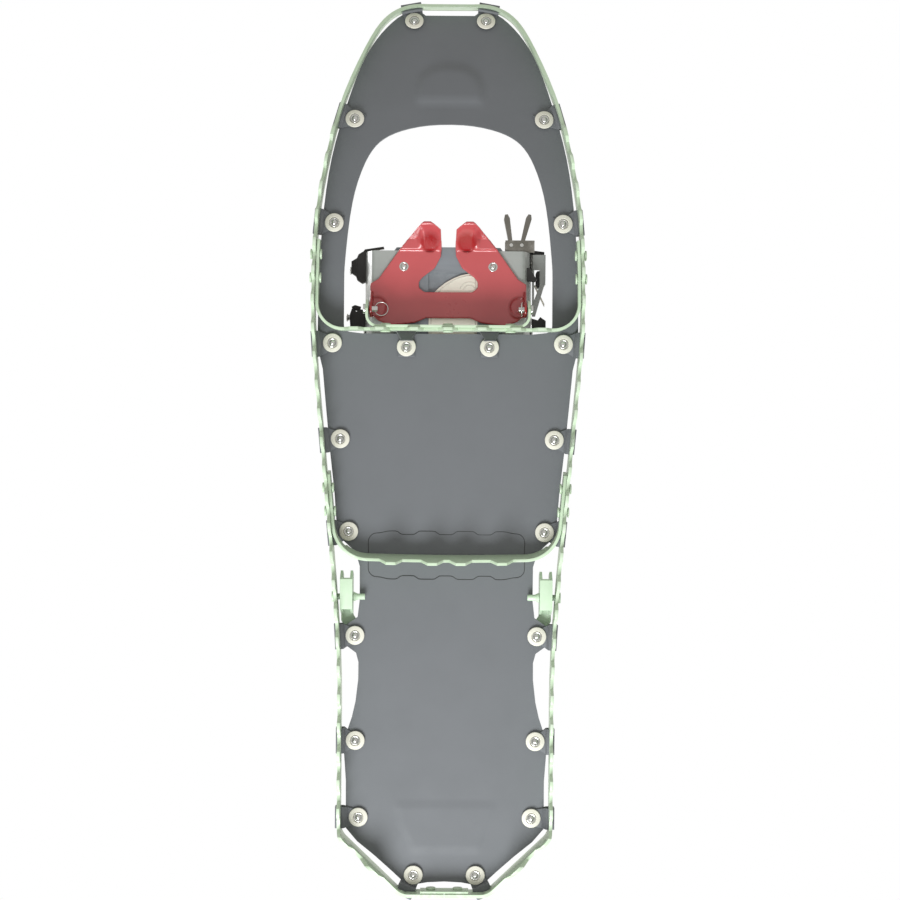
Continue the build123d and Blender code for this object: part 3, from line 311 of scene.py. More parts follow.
def makeFinish(name, look):
    material = bpy.data.materials.new(name)
    material.use_nodes = True
    tree = material.node_tree
    shader = tree.nodes["Principled BSDF"]
    place = tree.nodes.new("ShaderNodeTexCoord").outputs["Object"]
    grain = tree.nodes.new("ShaderNodeGroup")
    grain.node_tree = grainGroup
    grain.inputs["Scale"].default_value = look["grain"]
    grain.inputs["Cells"].default_value = look["cells"]
    scuff = tree.nodes.new("ShaderNodeGroup")
    scuff.node_tree = scuffGroup
    scuff.inputs["Amount"].default_value = look["scuff"]
    shape = tree.nodes.new("ShaderNodeNewGeometry")
    tree.links.new(place, grain.inputs["Vector"])
    tree.links.new(place, scuff.inputs["Vector"])
    tree.links.new(shape.outputs["Pointiness"], scuff.inputs["Edge"])

    tone = tree.nodes.new("ShaderNodeMix")
    tone.data_type = "RGBA"
    tone.inputs["A"].default_value = (*look["color"], 1)
    tone.inputs["B"].default_value = (*look["shade"], 1)
    tree.links.new(grain.outputs["Mottle"], tone.inputs["Factor"])
    wear = tree.nodes.new("ShaderNodeMix")
    wear.data_type = "RGBA"
    wear.inputs["B"].default_value = (*look["worn"], 1)
    tree.links.new(scuff.outputs["Mask"], wear.inputs["Factor"])
    body = tone.outputs["Result"]
    # painted shade: where the mesh marks it, the colour is drawn towards a darker tone
    if "paintedShadeTone" in look:
        painted_shade = tree.nodes.new("ShaderNodeAttribute")
        painted_shade.attribute_name = "painted_shade"
        shadow = tree.nodes.new("ShaderNodeMix")
        shadow.data_type = "RGBA"
        shadow.inputs["B"].default_value = (*look["paintedShadeTone"], 1)
        tree.links.new(painted_shade.outputs["Fac"], shadow.inputs["Factor"])
        tree.links.new(body, shadow.inputs["A"])
        body = shadow.outputs["Result"]
    tree.links.new(body, wear.inputs["A"])
    tree.links.new(wear.outputs["Result"], shader.inputs["Base Color"])

    gloss = tree.nodes.new("ShaderNodeMapRange")
    gloss.inputs["To Min"].default_value = look["rough"][0]
    gloss.inputs["To Max"].default_value = look["rough"][1]
    tree.links.new(grain.outputs["Mottle"], gloss.inputs["Value"])
    tree.links.new(gloss.outputs["Result"], shader.inputs["Roughness"])

    height = grain.outputs["Height"]
    if "weave" in look:
        weave = tree.nodes.new("ShaderNodeGroup")
        weave.node_tree = weaveGroup
        weave.inputs["Threads"].default_value = look["weave"]
        tree.links.new(place, weave.inputs["Vector"])
        height = mathNode(tree, "ADD", height, weave.outputs["Height"])
    bump = tree.nodes.new("ShaderNodeBump")
    bump.inputs["Strength"].default_value = look["bump"]
    bump.inputs["Distance"].default_value = 0.15 * mm
    tree.links.new(height, bump.inputs["Height"])
    tree.links.new(bump.outputs["Normal"], shader.inputs["Normal"])
    shader.inputs["Metallic"].default_value = look.get("metal", 0.0)
    shader.inputs["Coat Weight"].default_value = look.get("coat", 0.0)
    shader.inputs["Coat Roughness"].default_value = 0.12
    shader.inputs["Sheen Weight"].default_value = look.get("sheen", 0.0)
    return material


finish = {name: makeFinish(name, look) for name, look in finishes.items()}
print("stage:", len(finish), "finishes")


# mesh helpers

def addPiece(name, mesh):
    piece = bpy.data.objects.new(name, mesh)
    bpy.context.scene.collection.objects.link(piece)
    return piece


def bakeModifiers(piece):
    # the evaluated shape becomes the piece's own plain mesh
    bpy.context.view_layer.update()
    result = bpy.data.meshes.new_from_object(piece.evaluated_get(bpy.context.evaluated_depsgraph_get()))
    old = piece.data
    piece.modifiers.clear()
    piece.data = result
    bpy.data.meshes.remove(old)


def settle(piece, body, look, replaces=(), sharp=35):
    mesh = piece.data
    mesh.materials.clear()
    mesh.materials.append(finish[look])
    mesh.shade_smooth()
    mesh.set_sharp_from_angle(angle=math.radians(sharp))
    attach(piece, body)
    if replaces:
        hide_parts(*replaces)
    return piece


def weldedMesh(nodeName, dissolve=0.5):
    # a CAD node's loose triangles, joined, with flat faces made whole
    bm = bmesh.new()
    bm.from_mesh(nodes[nodeName].data)
    bmesh.ops.remove_doubles(bm, verts=bm.verts, dist=0.002 * mm)
    if dissolve:
        bmesh.ops.dissolve_limit(bm, angle_limit=math.radians(dissolve), verts=bm.verts, edges=bm.edges)
    return bm


def copyOf(nodeName):
    bm = weldedMesh(nodeName)
    mesh = bpy.data.meshes.new(nodeName + "_shape")
    bm.to_mesh(mesh)
    bm.free()
    return addPiece(nodeName + "_finished", mesh)


def softened(nodeName, body, look, edge, steps=2):
    # a copy of the node with its edges rounded, as the finished piece has them
    piece = copyOf(nodeName)
    bevel = piece.modifiers.new("edges", "BEVEL")
    bevel.width = edge
    bevel.segments = steps
    bevel.limit_method = "ANGLE"
    bevel.angle_limit = math.radians(40)
    bevel.use_clamp_overlap = True
    bakeModifiers(piece)
    return settle(piece, body, look, (nodeName,))


def flatPart(name, outline, low, high, edge, steps=2):
    # a flat part from its plan outline and its lower and upper level, in millimetres
    data = bpy.data.curves.new(name + "_flat", "CURVE")
    data.dimensions = "2D"
    data.fill_mode = "BOTH"
    data.extrude = (high - low) / 2 * mm - edge
    data.bevel_depth = edge
    data.bevel_resolution = steps
    data.offset = -edge
    spline = data.splines.new("POLY")
    spline.points.add(len(outline) - 1)
    for point, (x, y) in zip(spline.points, outline):
        point.co = (x * mm, y * mm, 0, 1)
    spline.use_cyclic_u = True
    mesh = meshOfCurve(name + "_flat", data)
    mesh.transform(Matrix.Translation((0, 0, (low + high) / 2 * mm)))
    return cleaned(name, mesh)


def meshOfCurve(name, data):
    shape = bpy.data.objects.new(name, data)
    bpy.context.scene.collection.objects.link(shape)
    bpy.context.view_layer.update()
    mesh = bpy.data.meshes.new_from_object(shape.evaluated_get(bpy.context.evaluated_depsgraph_get()))
    bpy.data.objects.remove(shape)
    return mesh


def cleaned(name, mesh):
    bm = bmesh.new()
    bm.from_mesh(mesh)
    bmesh.ops.remove_doubles(bm, verts=bm.verts, dist=0.001 * mm)
    bmesh.ops.recalc_face_normals(bm, faces=bm.faces)
    bm.to_mesh(mesh)
    bm.free()
    return addPiece(name, mesh)


def tube(name, points, radius, closed=False, sides=3, curved=False):
    # a round bead or wire along points in metres
    data = bpy.data.curves.new(name + "_path", "CURVE")
    data.dimensions = "3D"
    data.bevel_depth = radius
    data.bevel_resolution = sides
    data.use_fill_caps = True
    spline = data.splines.new("NURBS" if curved else "POLY")
    spline.points.add(len(points) - 1)
    for point, place in zip(spline.points, points):
        point.co = (*place, 1)
    spline.use_cyclic_u = closed
    if curved:
        spline.order_u = 3
        spline.use_endpoint_u = True
        spline.resolution_u = 4
    return cleaned(name, meshOfCurve(name + "_path", data))


def lathe(profile, sides=36):
    # a turned shape about Z from (radius, height) points, first and last on the axis
    bm = bmesh.new()
    rings = []
    for radius, height in profile:
        if radius == 0:
            rings.append([bm.verts.new((0, 0, height * mm))])
            continue
        angles = [2 * math.pi * index / sides for index in range(sides)]
        rings.append([
            bm.verts.new((radius * mm * math.cos(a), radius * mm * math.sin(a), height * mm)) for a in angles
        ])
    for low, high in zip(rings, rings[1:]):
        for index in range(sides):
            ring = [low[index % len(low)], low[(index + 1) % len(low)]]
            ring += [high[(index + 1) % len(high)], high[index % len(high)]]
            bm.faces.new(list(dict.fromkeys(ring)))
    bmesh.ops.recalc_face_normals(bm, faces=bm.faces)
    mesh = bpy.data.meshes.new("turned")
    bm.to_mesh(mesh)
    bm.free()
    return mesh


def islandsOf(nodeName):
    # the separate solids of a node: centre and the direction of their flat faces
    bm = weldedMesh(nodeName, dissolve=0)
    bm.verts.ensure_lookup_table()
    found, seen = [], set()
    for vert in bm.verts:
        if vert in seen:
            continue
        stack, group = [vert], []
        seen.add(vert)
        while stack:
            current = stack.pop()
            group.append(current)
            for edge in current.link_edges:
                other = edge.other_vert(current)
                if other not in seen:
                    seen.add(other)
                    stack.append(other)
        low = Vector([min(v.co[k] for v in group) for k in range(3)])
        high = Vector([max(v.co[k] for v in group) for k in range(3)])
        up = Vector()
        for face in dict.fromkeys(face for v in group for face in v.link_faces):
            if face.normal.z > 0.7:
                up += face.normal * face.calc_area()
        found.append(dict(centre=(low + high) / 2, up=up.normalized() if up.length else Vector((0, 0, 1))))
    bm.free()
    return found


# repeated parts are placed by one Geometry Nodes tree

def makePlacingTree():
    tree = bpy.data.node_groups.new("placeParts", "GeometryNodeTree")
    face = tree.interface
    face.new_socket(name="Geometry", in_out="INPUT", socket_type="NodeSocketGeometry")
    face.new_socket(name="Part", in_out="INPUT", socket_type="NodeSocketObject")
    face.new_socket(name="Size", in_out="INPUT", socket_type="NodeSocketFloat").default_value = 1.0
    face.new_socket(name="Size Spread", in_out="INPUT", socket_type="NodeSocketFloat").default_value = 0.0
    face.new_socket(name="Seed", in_out="INPUT", socket_type="NodeSocketInt").default_value = 7
    face.new_socket(name="Finish", in_out="INPUT", socket_type="NodeSocketMaterial")
    face.new_socket(name="Geometry", in_out="OUTPUT", socket_type="NodeSocketGeometry")
    make, link = tree.nodes.new, tree.links.new
    start, end = make("NodeGroupInput"), make("NodeGroupOutput")
    info = make("GeometryNodeObjectInfo")
    up, along = make("GeometryNodeInputNamedAttribute"), make("GeometryNodeInputNamedAttribute")
    for node, label in ((up, "up"), (along, "along")):
        node.data_type = "FLOAT_VECTOR"
        node.inputs["Name"].default_value = label
    stand, turn = make("FunctionNodeAlignRotationToVector"), make("FunctionNodeAlignRotationToVector")
    stand.axis = "Z"
    turn.axis = "X"
    turn.pivot_axis = "Z"
    spread = make("FunctionNodeRandomValue")
    low, high = make("ShaderNodeMath"), make("ShaderNodeMath")
    low.operation, high.operation = "SUBTRACT", "ADD"
    place = make("GeometryNodeInstanceOnPoints")
    real = make("GeometryNodeRealizeInstances")
    paint = make("GeometryNodeSetMaterial")
    link(start.outputs["Part"], info.inputs["Object"])
    link(up.outputs["Attribute"], stand.inputs["Vector"])
    link(stand.outputs["Rotation"], turn.inputs["Rotation"])
    link(along.outputs["Attribute"], turn.inputs["Vector"])
    for node in (low, high):
        link(start.outputs["Size"], node.inputs[0])
        link(start.outputs["Size Spread"], node.inputs[1])
    minimum = [s for s in spread.inputs if s.name == "Min" and s.type == "VALUE"][0]
    maximum = [s for s in spread.inputs if s.name == "Max" and s.type == "VALUE"][0]
    value = [s for s in spread.outputs if s.type == "VALUE"][0]
    link(low.outputs[0], minimum)
    link(high.outputs[0], maximum)
    link(start.outputs["Seed"], spread.inputs["Seed"])
    link(start.outputs["Geometry"], place.inputs["Points"])
    link(info.outputs["Geometry"], place.inputs["Instance"])
    link(turn.outputs["Rotation"], place.inputs["Rotation"])
    link(value, place.inputs["Scale"])
    link(place.outputs["Instances"], real.inputs["Geometry"])
    link(real.outputs["Geometry"], paint.inputs["Geometry"])
    link(start.outputs["Finish"], paint.inputs["Material"])
    link(paint.outputs["Geometry"], end.inputs["Geometry"])
    return tree


placingTree = makePlacingTree()


def placeParts(name, partMesh, spots, look, spread=0.0, seed=7):
    # spots are (point, up, along); the result is one plain mesh
    template = addPiece(name + "_part", partMesh)
    mesh = bpy.data.meshes.new(name + "_spots")
    mesh.from_pydata([spot[0] for spot in spots], [], [])
    for label, column in (("up", 1), ("along", 2)):
        attribute = mesh.attributes.new(label, "FLOAT_VECTOR", "POINT")
        attribute.data.foreach_set("vector", [value for spot in spots for value in spot[column]])
    piece = addPiece(name, mesh)
    modifier = piece.modifiers.new("place", "NODES")
    modifier.node_group = placingTree
    values = {"Part": template, "Size": 1.0, "Size Spread": spread, "Seed": seed, "Finish": finish[look]}
    for socket in placingTree.interface.items_tree:
        if socket.in_out == "INPUT" and socket.name in values:
            modifier[socket.identifier] = values[socket.name]
    bakeModifiers(piece)
    bpy.data.objects.remove(template)
    for label in ("up", "along"):
        if label in piece.data.attributes:
            piece.data.attributes.remove(piece.data.attributes[label])
    return piece


# deck sheet

deckLook = {
    "gridStep": 3.0,
    "keepFromEdge": 1.3,
    "thickness": 1.2,
    "waveHeight": 0.22,
    "washerCalm": 16.0,      # no waves this near to a washer
    "domeBase": 246.0,
    "domeTop": 276.0,
    "domeHalf": 27.0,
    "domeDepth": 2.2,
    "domePower": 2.4,
    "domeSoft": 0.55,
    "domeFoot": 2.5,         # half the width of the dome's straight lower edge
    "panelFront": -255.5,
    "panelBack": -290.0,
    "panelHalf": (37.0, 24.5),
    "panelDepth": 0.4,
    "panelEdge": 1.6,
    "flat": (0.186, 0.640),
    "area": 0.0735,
}
washers = islandsOf("deck_washers")


def ease(value, low, high):
    share = min(1.0, max(0.0, (value - low) / (high - low)))
    return share * share * (3 - 2 * share)


def deckPress(x, y):
    # depth of the two pressed shapes below the sheet, in millimetres
    look = deckLook
    rise = (y - look["domeBase"]) / (look["domeTop"] - look["domeBase"])
    dome = 1 - (abs(x) / look["domeHalf"]) ** look["domePower"] - max(rise, 0.0) ** 3.0
    foot = ease(y - look["domeBase"], -look["domeFoot"], look["domeFoot"])
    depth = look["domeDepth"] * ease(dome, 0.0, look["domeSoft"]) * foot
    share = (look["panelFront"] - y) / (look["panelFront"] - look["panelBack"])
    half = look["panelHalf"][0] + share * (look["panelHalf"][1] - look["panelHalf"][0])
    across = ease(half - abs(x), 0.0, look["panelEdge"])
    along = ease(y - look["panelBack"], 0.0, look["panelEdge"])
    along *= ease(look["panelFront"] - y, 0.0, look["panelEdge"])
    return depth + look["panelDepth"] * across * along


def lowerFaces(nodeName):
    bm = weldedMesh(nodeName, dissolve=0)
    bmesh.ops.delete(bm, geom=[face for face in bm.faces if face.normal.z > -0.7], context="FACES")
    return bm


def makeDeck():
    look = deckLook
    source = lowerFaces("deck")
    tree = BVHTree.FromBMesh(source)
    rim = [edge for edge in source.edges if len(edge.link_faces) == 1]
    rimVerts = list(dict.fromkeys(vert for edge in rim for vert in edge.verts))
    order = {vert: index for index, vert in enumerate(rimVerts)}
    points = [Vector((vert.co.x, vert.co.y)) for vert in rimVerts]
    edges = [(order[edge.verts[0]], order[edge.verts[1]]) for edge in rim]
    near = kdtree.KDTree(len(rim) * 4)
    for index, edge in enumerate(rim):
        for step in range(4):
            spot = edge.verts[0].co.lerp(edge.verts[1].co, step / 4)
            near.insert((spot.x, spot.y, 0), index * 4 + step)
    near.balance()
    low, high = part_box("deck")
    step = look["gridStep"] * mm
    for row in range(int((high.y - low.y) / step)):
        for column in range(int((high.x - low.x) / step) + 1):
            x = low.x + (column + 0.5 * (row % 2)) * step
            y = low.y + (row + 0.5) * step
            hit = tree.ray_cast(Vector((x, y, -1)), Vector((0, 0, 1)))[0]
            if hit and near.find((x, y, 0))[2] > look["keepFromEdge"] * mm:
                points.append(Vector((x, y)))
    flat, _, faces, *_ = geometry.delaunay_2d_cdt(points, edges, [], 0, 1e-7)
    kept = []
    for face in faces:
        middle = sum((flat[index] for index in face), Vector((0, 0))) / len(face)
        if tree.ray_cast(Vector((middle.x, middle.y, -1)), Vector((0, 0, 1)))[0]:
            kept.append(tuple(face))
    verts = []
    for spot in flat:
        hit = tree.ray_cast(Vector((spot.x, spot.y, -1)), Vector((0, 0, 1)))[0]
        if hit is None:
            hit = tree.find_nearest(Vector((spot.x, spot.y, 0.03)))[0]
        x, y = spot.x / mm, spot.y / mm
        calm = min((Vector((spot.x, spot.y)) - washer["centre"].xy).length for washer in washers)
        wave = noise.noise(Vector((x / 55, y / 70, 3.0))) * ease(calm / mm, 7.0, look["washerCalm"])
        verts.append((spot.x, spot.y, hit.z - (deckPress(x, y) - look["waveHeight"] * wave) * mm))
    source.free()
    mesh = bpy.data.meshes.new("deckSheet")
    mesh.from_pydata(verts, [], kept)
    bm = bmesh.new()
    bm.from_mesh(mesh)
    bmesh.ops.delete(bm, geom=[vert for vert in bm.verts if not vert.link_faces], context="VERTS")
    bmesh.ops.recalc_face_normals(bm, faces=bm.faces)
    if sum(face.normal.z for face in bm.faces) > 0:
        bmesh.ops.reverse_faces(bm, faces=bm.faces)
    bm.to_mesh(mesh)
    bm.free()
    piece = addPiece("deckSheet", mesh)
    solid = piece.modifiers.new("thickness", "SOLIDIFY")
    solid.thickness = look["thickness"] * mm
    solid.offset = -1
    bakeModifiers(piece)
    settle(piece, "frame", "deckCoat", ("deck",), sharp=60)
    print("stage: deck sheet,", len(piece.data.polygons), "faces")


makeDeck()


# washers and rivets of the deck straps

def fastenerSpots(low):
    across = Vector((1, 0, 0))
    return [(spot["centre"] + spot["up"] * low * mm, spot["up"], across) for spot in washers]


washerShape = [
    (0.0, 0.5), (6.2, 0.5), (6.6, 0.35), (6.75, 0.0), (6.6, -0.35), (6.2, -0.5), (4.45, -0.5), (4.15, -0.62),
    (3.95, -0.55), (3.8, -0.2), (3.7, 0.1), (0.0, 0.1),
]
rivetFoot = [
    (0.0, 0.0), (3.3, 0.0), (3.4, -0.35), (3.25, -0.62), (2.95, -0.7), (2.6, -0.62), (2.35, -0.42),
    (2.2, -0.35), (2.05, -0.5), (1.95, -0.85), (1.7, -1.2), (1.3, -1.48), (0.7, -1.68), (0.0, -1.75),
]
rivetTop = [(0.0, -0.15), (4.5, -0.15), (4.45, 0.3), (4.0, 0.8), (3.0, 1.12), (1.5, 1.2), (0.0, 1.2)]
stackTop = 4.35            # from a washer's middle to the top of the upper strap end

piece = placeParts("deckWashers", lathe(washerShape), fastenerSpots(0.0), "creamWasher")
settle(piece, "frame", "creamWasher", ("deck_washers",), sharp=50)
piece = placeParts("deckRivetFeet", lathe(rivetFoot, 32), fastenerSpots(0.0), "rivetSteel")
settle(piece, "frame", "rivetSteel", ("deck_rivets",), sharp=60)
piece = placeParts("deckRivetTops", lathe(rivetTop, 32), fastenerSpots(stackTop), "rivetSteel")
settle(piece, "frame", "rivetSteel", sharp=60)
print("stage: washers and rivets,", len(washers), "places")


# frame metal

softened("frame_rail", "frame", "railGreen", 0.25 * mm, steps=1)
for nodeName, edge in (("front_crossmember", 0.25), ("rear_crossmember", 0.3), ("toe_bracket", 0.3)):
    softened(nodeName, "frame", "railGreen", edge * mm)
for nodeName in ("tail_plate", "crossmember_rivets", "toe_bracket_rivets", "tail_rivets"):
    softened(nodeName, "frame", "railGreen", 0.4 * mm, steps=3)
softened("bail_pins", "frame", "bailGreen", 0.3 * mm)
softened("heel_bail", "bail", "bailGreen", 0.5 * mm, steps=3)
tabLook = {"reach": 17.0, "radius": 6.2, "above": 2.0, "inner": 35.0, "tipFrom": 150.0}


def tuckTabs(piece):
    # corners of the lower strap ends are drawn in under the washers: on the side away from the rail,
    # and at the front crossmember on the side towards it
    look = tabLook
    for vert in piece.data.vertices:
        middle = min((washer["centre"] for washer in washers), key=lambda place: (place - vert.co).length)
        away = (vert.co - middle).xy
        if away.length > look["reach"] * mm or vert.co.z > middle.z + look["above"] * mm:
            continue
        inward = away.x * middle.x < 0
        if abs(middle.x) < look["inner"] * mm:
            forward = 0 < middle.y < look["tipFrom"] * mm or middle.y < 0
            inward = away.y > 0 if forward else away.y < 0
        if inward and away.length > look["radius"] * mm:
            vert.co.xy = middle.xy + away * (look["radius"] * mm / away.length)


for nodeName in ("deck_straps_front", "deck_straps_mid", "deck_straps_rear", "deck_straps_cross"):
    tuckTabs(softened(nodeName, "frame", "deckCoat", 0.35 * mm))
print("stage: frame metal and straps")


# heel pad: slab, tread bars, and a thin black line under the deck, painted shade for the groove where the pad
# is welded

heelPadLook = {
    "barWide": 3.2,
    "barHigh": 0.8,
    "barPitch": 6.5,
    "barInset": 6.0,
    "weldRadius": 0.24,
    "weldHalf": 55.5,
    "weldFront": -62.8,
    "weldBack": -97.0,
    "weldCorner": 6.0,
    "weldDip": 2.4,
    "weldDips": (-27.0, 0.5, 27.5),
    "dipHalf": 8.5,
    "dipSoft": 4.5,
    "endDrop": 1.5,
    "endReach": 16.0,
}


def barMesh(length, wide, high):
    # a low rounded tread bar along X
    half = length / 2
    profile = [(-wide / 2, 0), (-wide * 0.36, high * 0.8), (-wide * 0.2, high), (wide * 0.2, high),
               (wide * 0.36, high * 0.8), (wide / 2, 0)]
    bm = bmesh.new()
    rings = []
    for x, share in ((-half, 0.4), (-half + high, 0.85), (-half + 2 * high, 1.0), (half - 2 * high, 1.0),
                     (half - high, 0.85), (half, 0.4)):
        rings.append([bm.verts.new((x * mm, y * mm * (0.5 + share / 2), z * share * mm)) for y, z in profile])
    for first, second in zip(rings, rings[1:]):
        for index in range(len(profile)):
            following = (index + 1) % len(profile)
            bm.faces.new((first[index], first[following], second[following], second[index]))
    bm.faces.new(rings[0])
    bm.faces.new(rings[-1])
    bmesh.ops.recalc_face_normals(bm, faces=bm.faces)
    mesh = bpy.data.meshes.new("treadBar")
    bm.to_mesh(mesh)
    bm.free()
    return mesh


def weldPath():
    # a rounded rectangle whose long edges dip three times
    look = heelPadLook
    half, corner = look["weldHalf"], look["weldCorner"]
    straight = half - corner
    front = []
    for index in range(61):
        x = (index / 30 - 1) * straight
        dip = sum(ease(look["dipHalf"] - abs(x - at), 0.0, look["dipSoft"]) for at in look["weldDips"])
        drop = look["endDrop"] * ease(abs(x), half - look["endReach"], straight)
        front.append((x, look["weldFront"] - look["weldDip"] * dip - drop))
    middle = (look["weldFront"] + look["weldBack"]) / 2
    back = [(x, 2 * middle - y) for x, y in reversed(front)]

    def turn(x, y, start):
        angles = [math.radians(start - 18 * step) for step in range(6)]
        return [(x + corner * math.cos(angle), y + corner * math.sin(angle)) for angle in angles]

    high, low = front[0][1] - corner, back[0][1] + corner
    path = front + turn(straight, high, 90)[1:] + turn(straight, low, 0)[:-1]
    return path + back + turn(-straight, low, -90)[1:] + turn(-straight, high, -180)[:-1]


def upright(x, y, z):
    # a place for placeParts that stands level and faces along X
    return Vector((x, y, z)), Vector((0, 0, 1)), Vector((1, 0, 0))


def makeHeelPad():
    look = heelPadLook
    softened("heel_pad", "frame", "strapCoat", 0.6 * mm, steps=3)
    low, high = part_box("heel_pad")
    length = (high.x - low.x) / mm - 2 * look["barInset"]
    count = int(((high.y - low.y) / mm - 2 * look["barInset"]) / look["barPitch"]) + 1
    start = (low.y + high.y) / 2 - (count - 1) / 2 * look["barPitch"] * mm
    spots = [
        upright(0, start + index * look["barPitch"] * mm, high.z - 0.1 * mm) for index in range(count)
    ]
    bars = placeParts("heelPadBars", barMesh(length, look["barWide"], look["barHigh"]), spots, "strapCoat")
    settle(bars, "frame", "strapCoat")
    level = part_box("deck")[0].z
    line = [(x * mm, y * mm, level) for x, y in weldPath()]
    # painted shade: a thin black bead along the pad's weld groove on the deck's underside
    grooveShade = tube("heelPadWeld", line, look["weldRadius"] * mm, closed=True, sides=2)
    settle(grooveShade, "frame", "blackRubber")


makeHeelPad()
print("stage: heel pad")


# crampon: stamped plate with a pressed pocket in the bend of each fang

cramponLook = {
    "voxel": 0.62,
    "relax": 5,
    "pocketPlace": (13.2, 143.0),
    "pocketHalf": (8.4, 7.4),
    "pocketSink": 3.68,
    "pocketDraw": 1.38,
    "bendY": 138.0,
    "fangSlope": 1.588,
    "shoulder": (17.0, 23.0),     # the outer part of each fang stays level up to its shoulder
    "shoulderEnd": 152.5,
    "plateLow": (25.0, 27.6),
    "flangeTop": 27.0,
    "rearEdge": 85.0,
    "ridgePlace": (50.5, 97.0),
    "ridgeRadius": 7.2,
    "ridgeWide": 1.6,
    "ridgeHigh": 0.9,
    "rivetLift": 1.75,
}


def pressCramponAndPaintShade(mesh):
    # dished fang bends and pivot rings; the marked attribute is painted shade, darker in the pockets, on the
    # side flanges, along the rear edge, in the fang folds and on the rings
    look = cramponLook
    shadeMarks = mesh.attributes.new("painted_shade", "FLOAT", "POINT")
    for vert, shadeMark in zip(mesh.vertices, shadeMarks.data):
        x, y, z = (value / mm for value in vert.co)
        dx = (abs(x) - look["pocketPlace"][0]) / look["pocketHalf"][0]
        dy = (y - look["pocketPlace"][1]) / look["pocketHalf"][1]
        pocket = ease(1 - dx * dx - dy * dy, 0.0, 0.7)
        level = look["fangSlope"] * min(y - look["bendY"], look["shoulderEnd"] - y)
        shoulder = max(level, 0.0) * ease(abs(x), *look["shoulder"])
        vert.co.z += (look["pocketSink"] * pocket + shoulder) * mm
        vert.co.y -= look["pocketDraw"] * pocket * mm
        # painted shade: the side flanges, the rear edge and the fang folds are marked darker, as are the
        # pockets
        flange = ease(look["flangeTop"] - z, 0.0, 1.0) * ease(look["bendY"] - 8 - y, 0.0, 4.0)
        rear = 0.75 * ease(look["rearEdge"] + 3.0 * ease(abs(x), 30, 50) - y, 0.0, 3.0)
        fold = 0.5 * ease(shoulder, 1.0, 6.0) * ease(y, 145, 147)
        shadeMark.value = max(pocket, flange, rear, fold)
        if look["plateLow"][0] < z < look["plateLow"][1]:
            away = math.hypot(abs(x) - look["ridgePlace"][0], y - look["ridgePlace"][1])
            ridge = ease(look["ridgeWide"] - abs(away - look["ridgeRadius"]), 0.0, look["ridgeWide"])
            vert.co.z -= look["ridgeHigh"] * ridge * mm
            # painted shade along the pivot rings
            shadeMark.value = max(shadeMark.value, 0.8 * ridge)


def makeCrampon():
    # remeshed evenly, so that bends, pockets and edges run into each other
    look = cramponLook
    piece = copyOf("crampon")
    remesh = piece.modifiers.new("even", "REMESH")
    remesh.mode = "VOXEL"
    remesh.voxel_size = look["voxel"] * mm
    bakeModifiers(piece)
    pressCramponAndPaintShade(piece.data)
    relax = piece.modifiers.new("relax", "SMOOTH")
    relax.factor = 0.5
    relax.iterations = look["relax"]
    bakeModifiers(piece)
    settle(piece, "binding", "crampRed", ("crampon",), sharp=70)
    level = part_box("crampon_rivets")[0].z + look["rivetLift"] * mm
    spots = [upright(*spot["centre"].xy, level) for spot in islandsOf("crampon_rivets")]
    rivets = placeParts("cramponRivets", lathe(rivetFoot, 32), spots, "rivetSteel")
    settle(rivets, "binding", "rivetSteel", ("crampon_rivets",), sharp=60)


makeCrampon()
for side in ("right", "left"):
    softened("clevis_pin_" + side, "frame", "rivetSteel", 0.3 * mm)
print("stage: crampon")


# split rings: wire wound nearly twice

ringLook = {"radius": 4.75, "wire": 0.34, "turns": 1.9, "lift": 0.55, "steps": 44}


def makeRing(side):
    look = ringLook
    node = "split_ring_" + side
    low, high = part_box(node)
    centre, size = (low + high) / 2, high - low
    thin = min(range(3), key=lambda axis: size[axis])
    first, second = [axis for axis in range(3) if axis != thin]
    path = []
    for index in range(look["steps"] + 1):
        share = index / look["steps"]
        angle = 2 * math.pi * look["turns"] * share
        point = centre.copy()
        point[first] += look["radius"] * mm * math.cos(angle)
        point[second] += look["radius"] * mm * math.sin(angle)
        point[thin] += (share - 0.5) * look["lift"] * mm
        path.append(point)
    ring = tube("splitRing_" + side, path, look["wire"] * mm, sides=3, curved=True)
    settle(ring, "ring_" + side, "rivetSteel", (node,), sharp=60)


for side in ("right", "left"):
    makeRing(side)


# binding base and the soft strap under it

softened("binding_base", "binding", "baseGrey", 0.8 * mm, steps=3)
centerStrapLook = {
    "outline": [
        (14, 21), (14, 99), (12.8, 103.6), (10, 107.4), (6.4, 110.9), (2, 114.3), (-3, 117.2), (-8.5, 119.5),
        (-14, 120.8), (-18, 120.9), (-20.3, 119.6), (-21, 117), (-21, 21),
    ],
    "low": 29.05,
    "high": 30.4,
    "middle": (-3.5, 70.0),
    "halfSize": (17.5, 50.0),
    "beadInset": 1.8,
    "beadRadius": 0.42,
    "arcCentre": (-15, 107.5),
    "arcRadii": (4.8, 7.2),
}


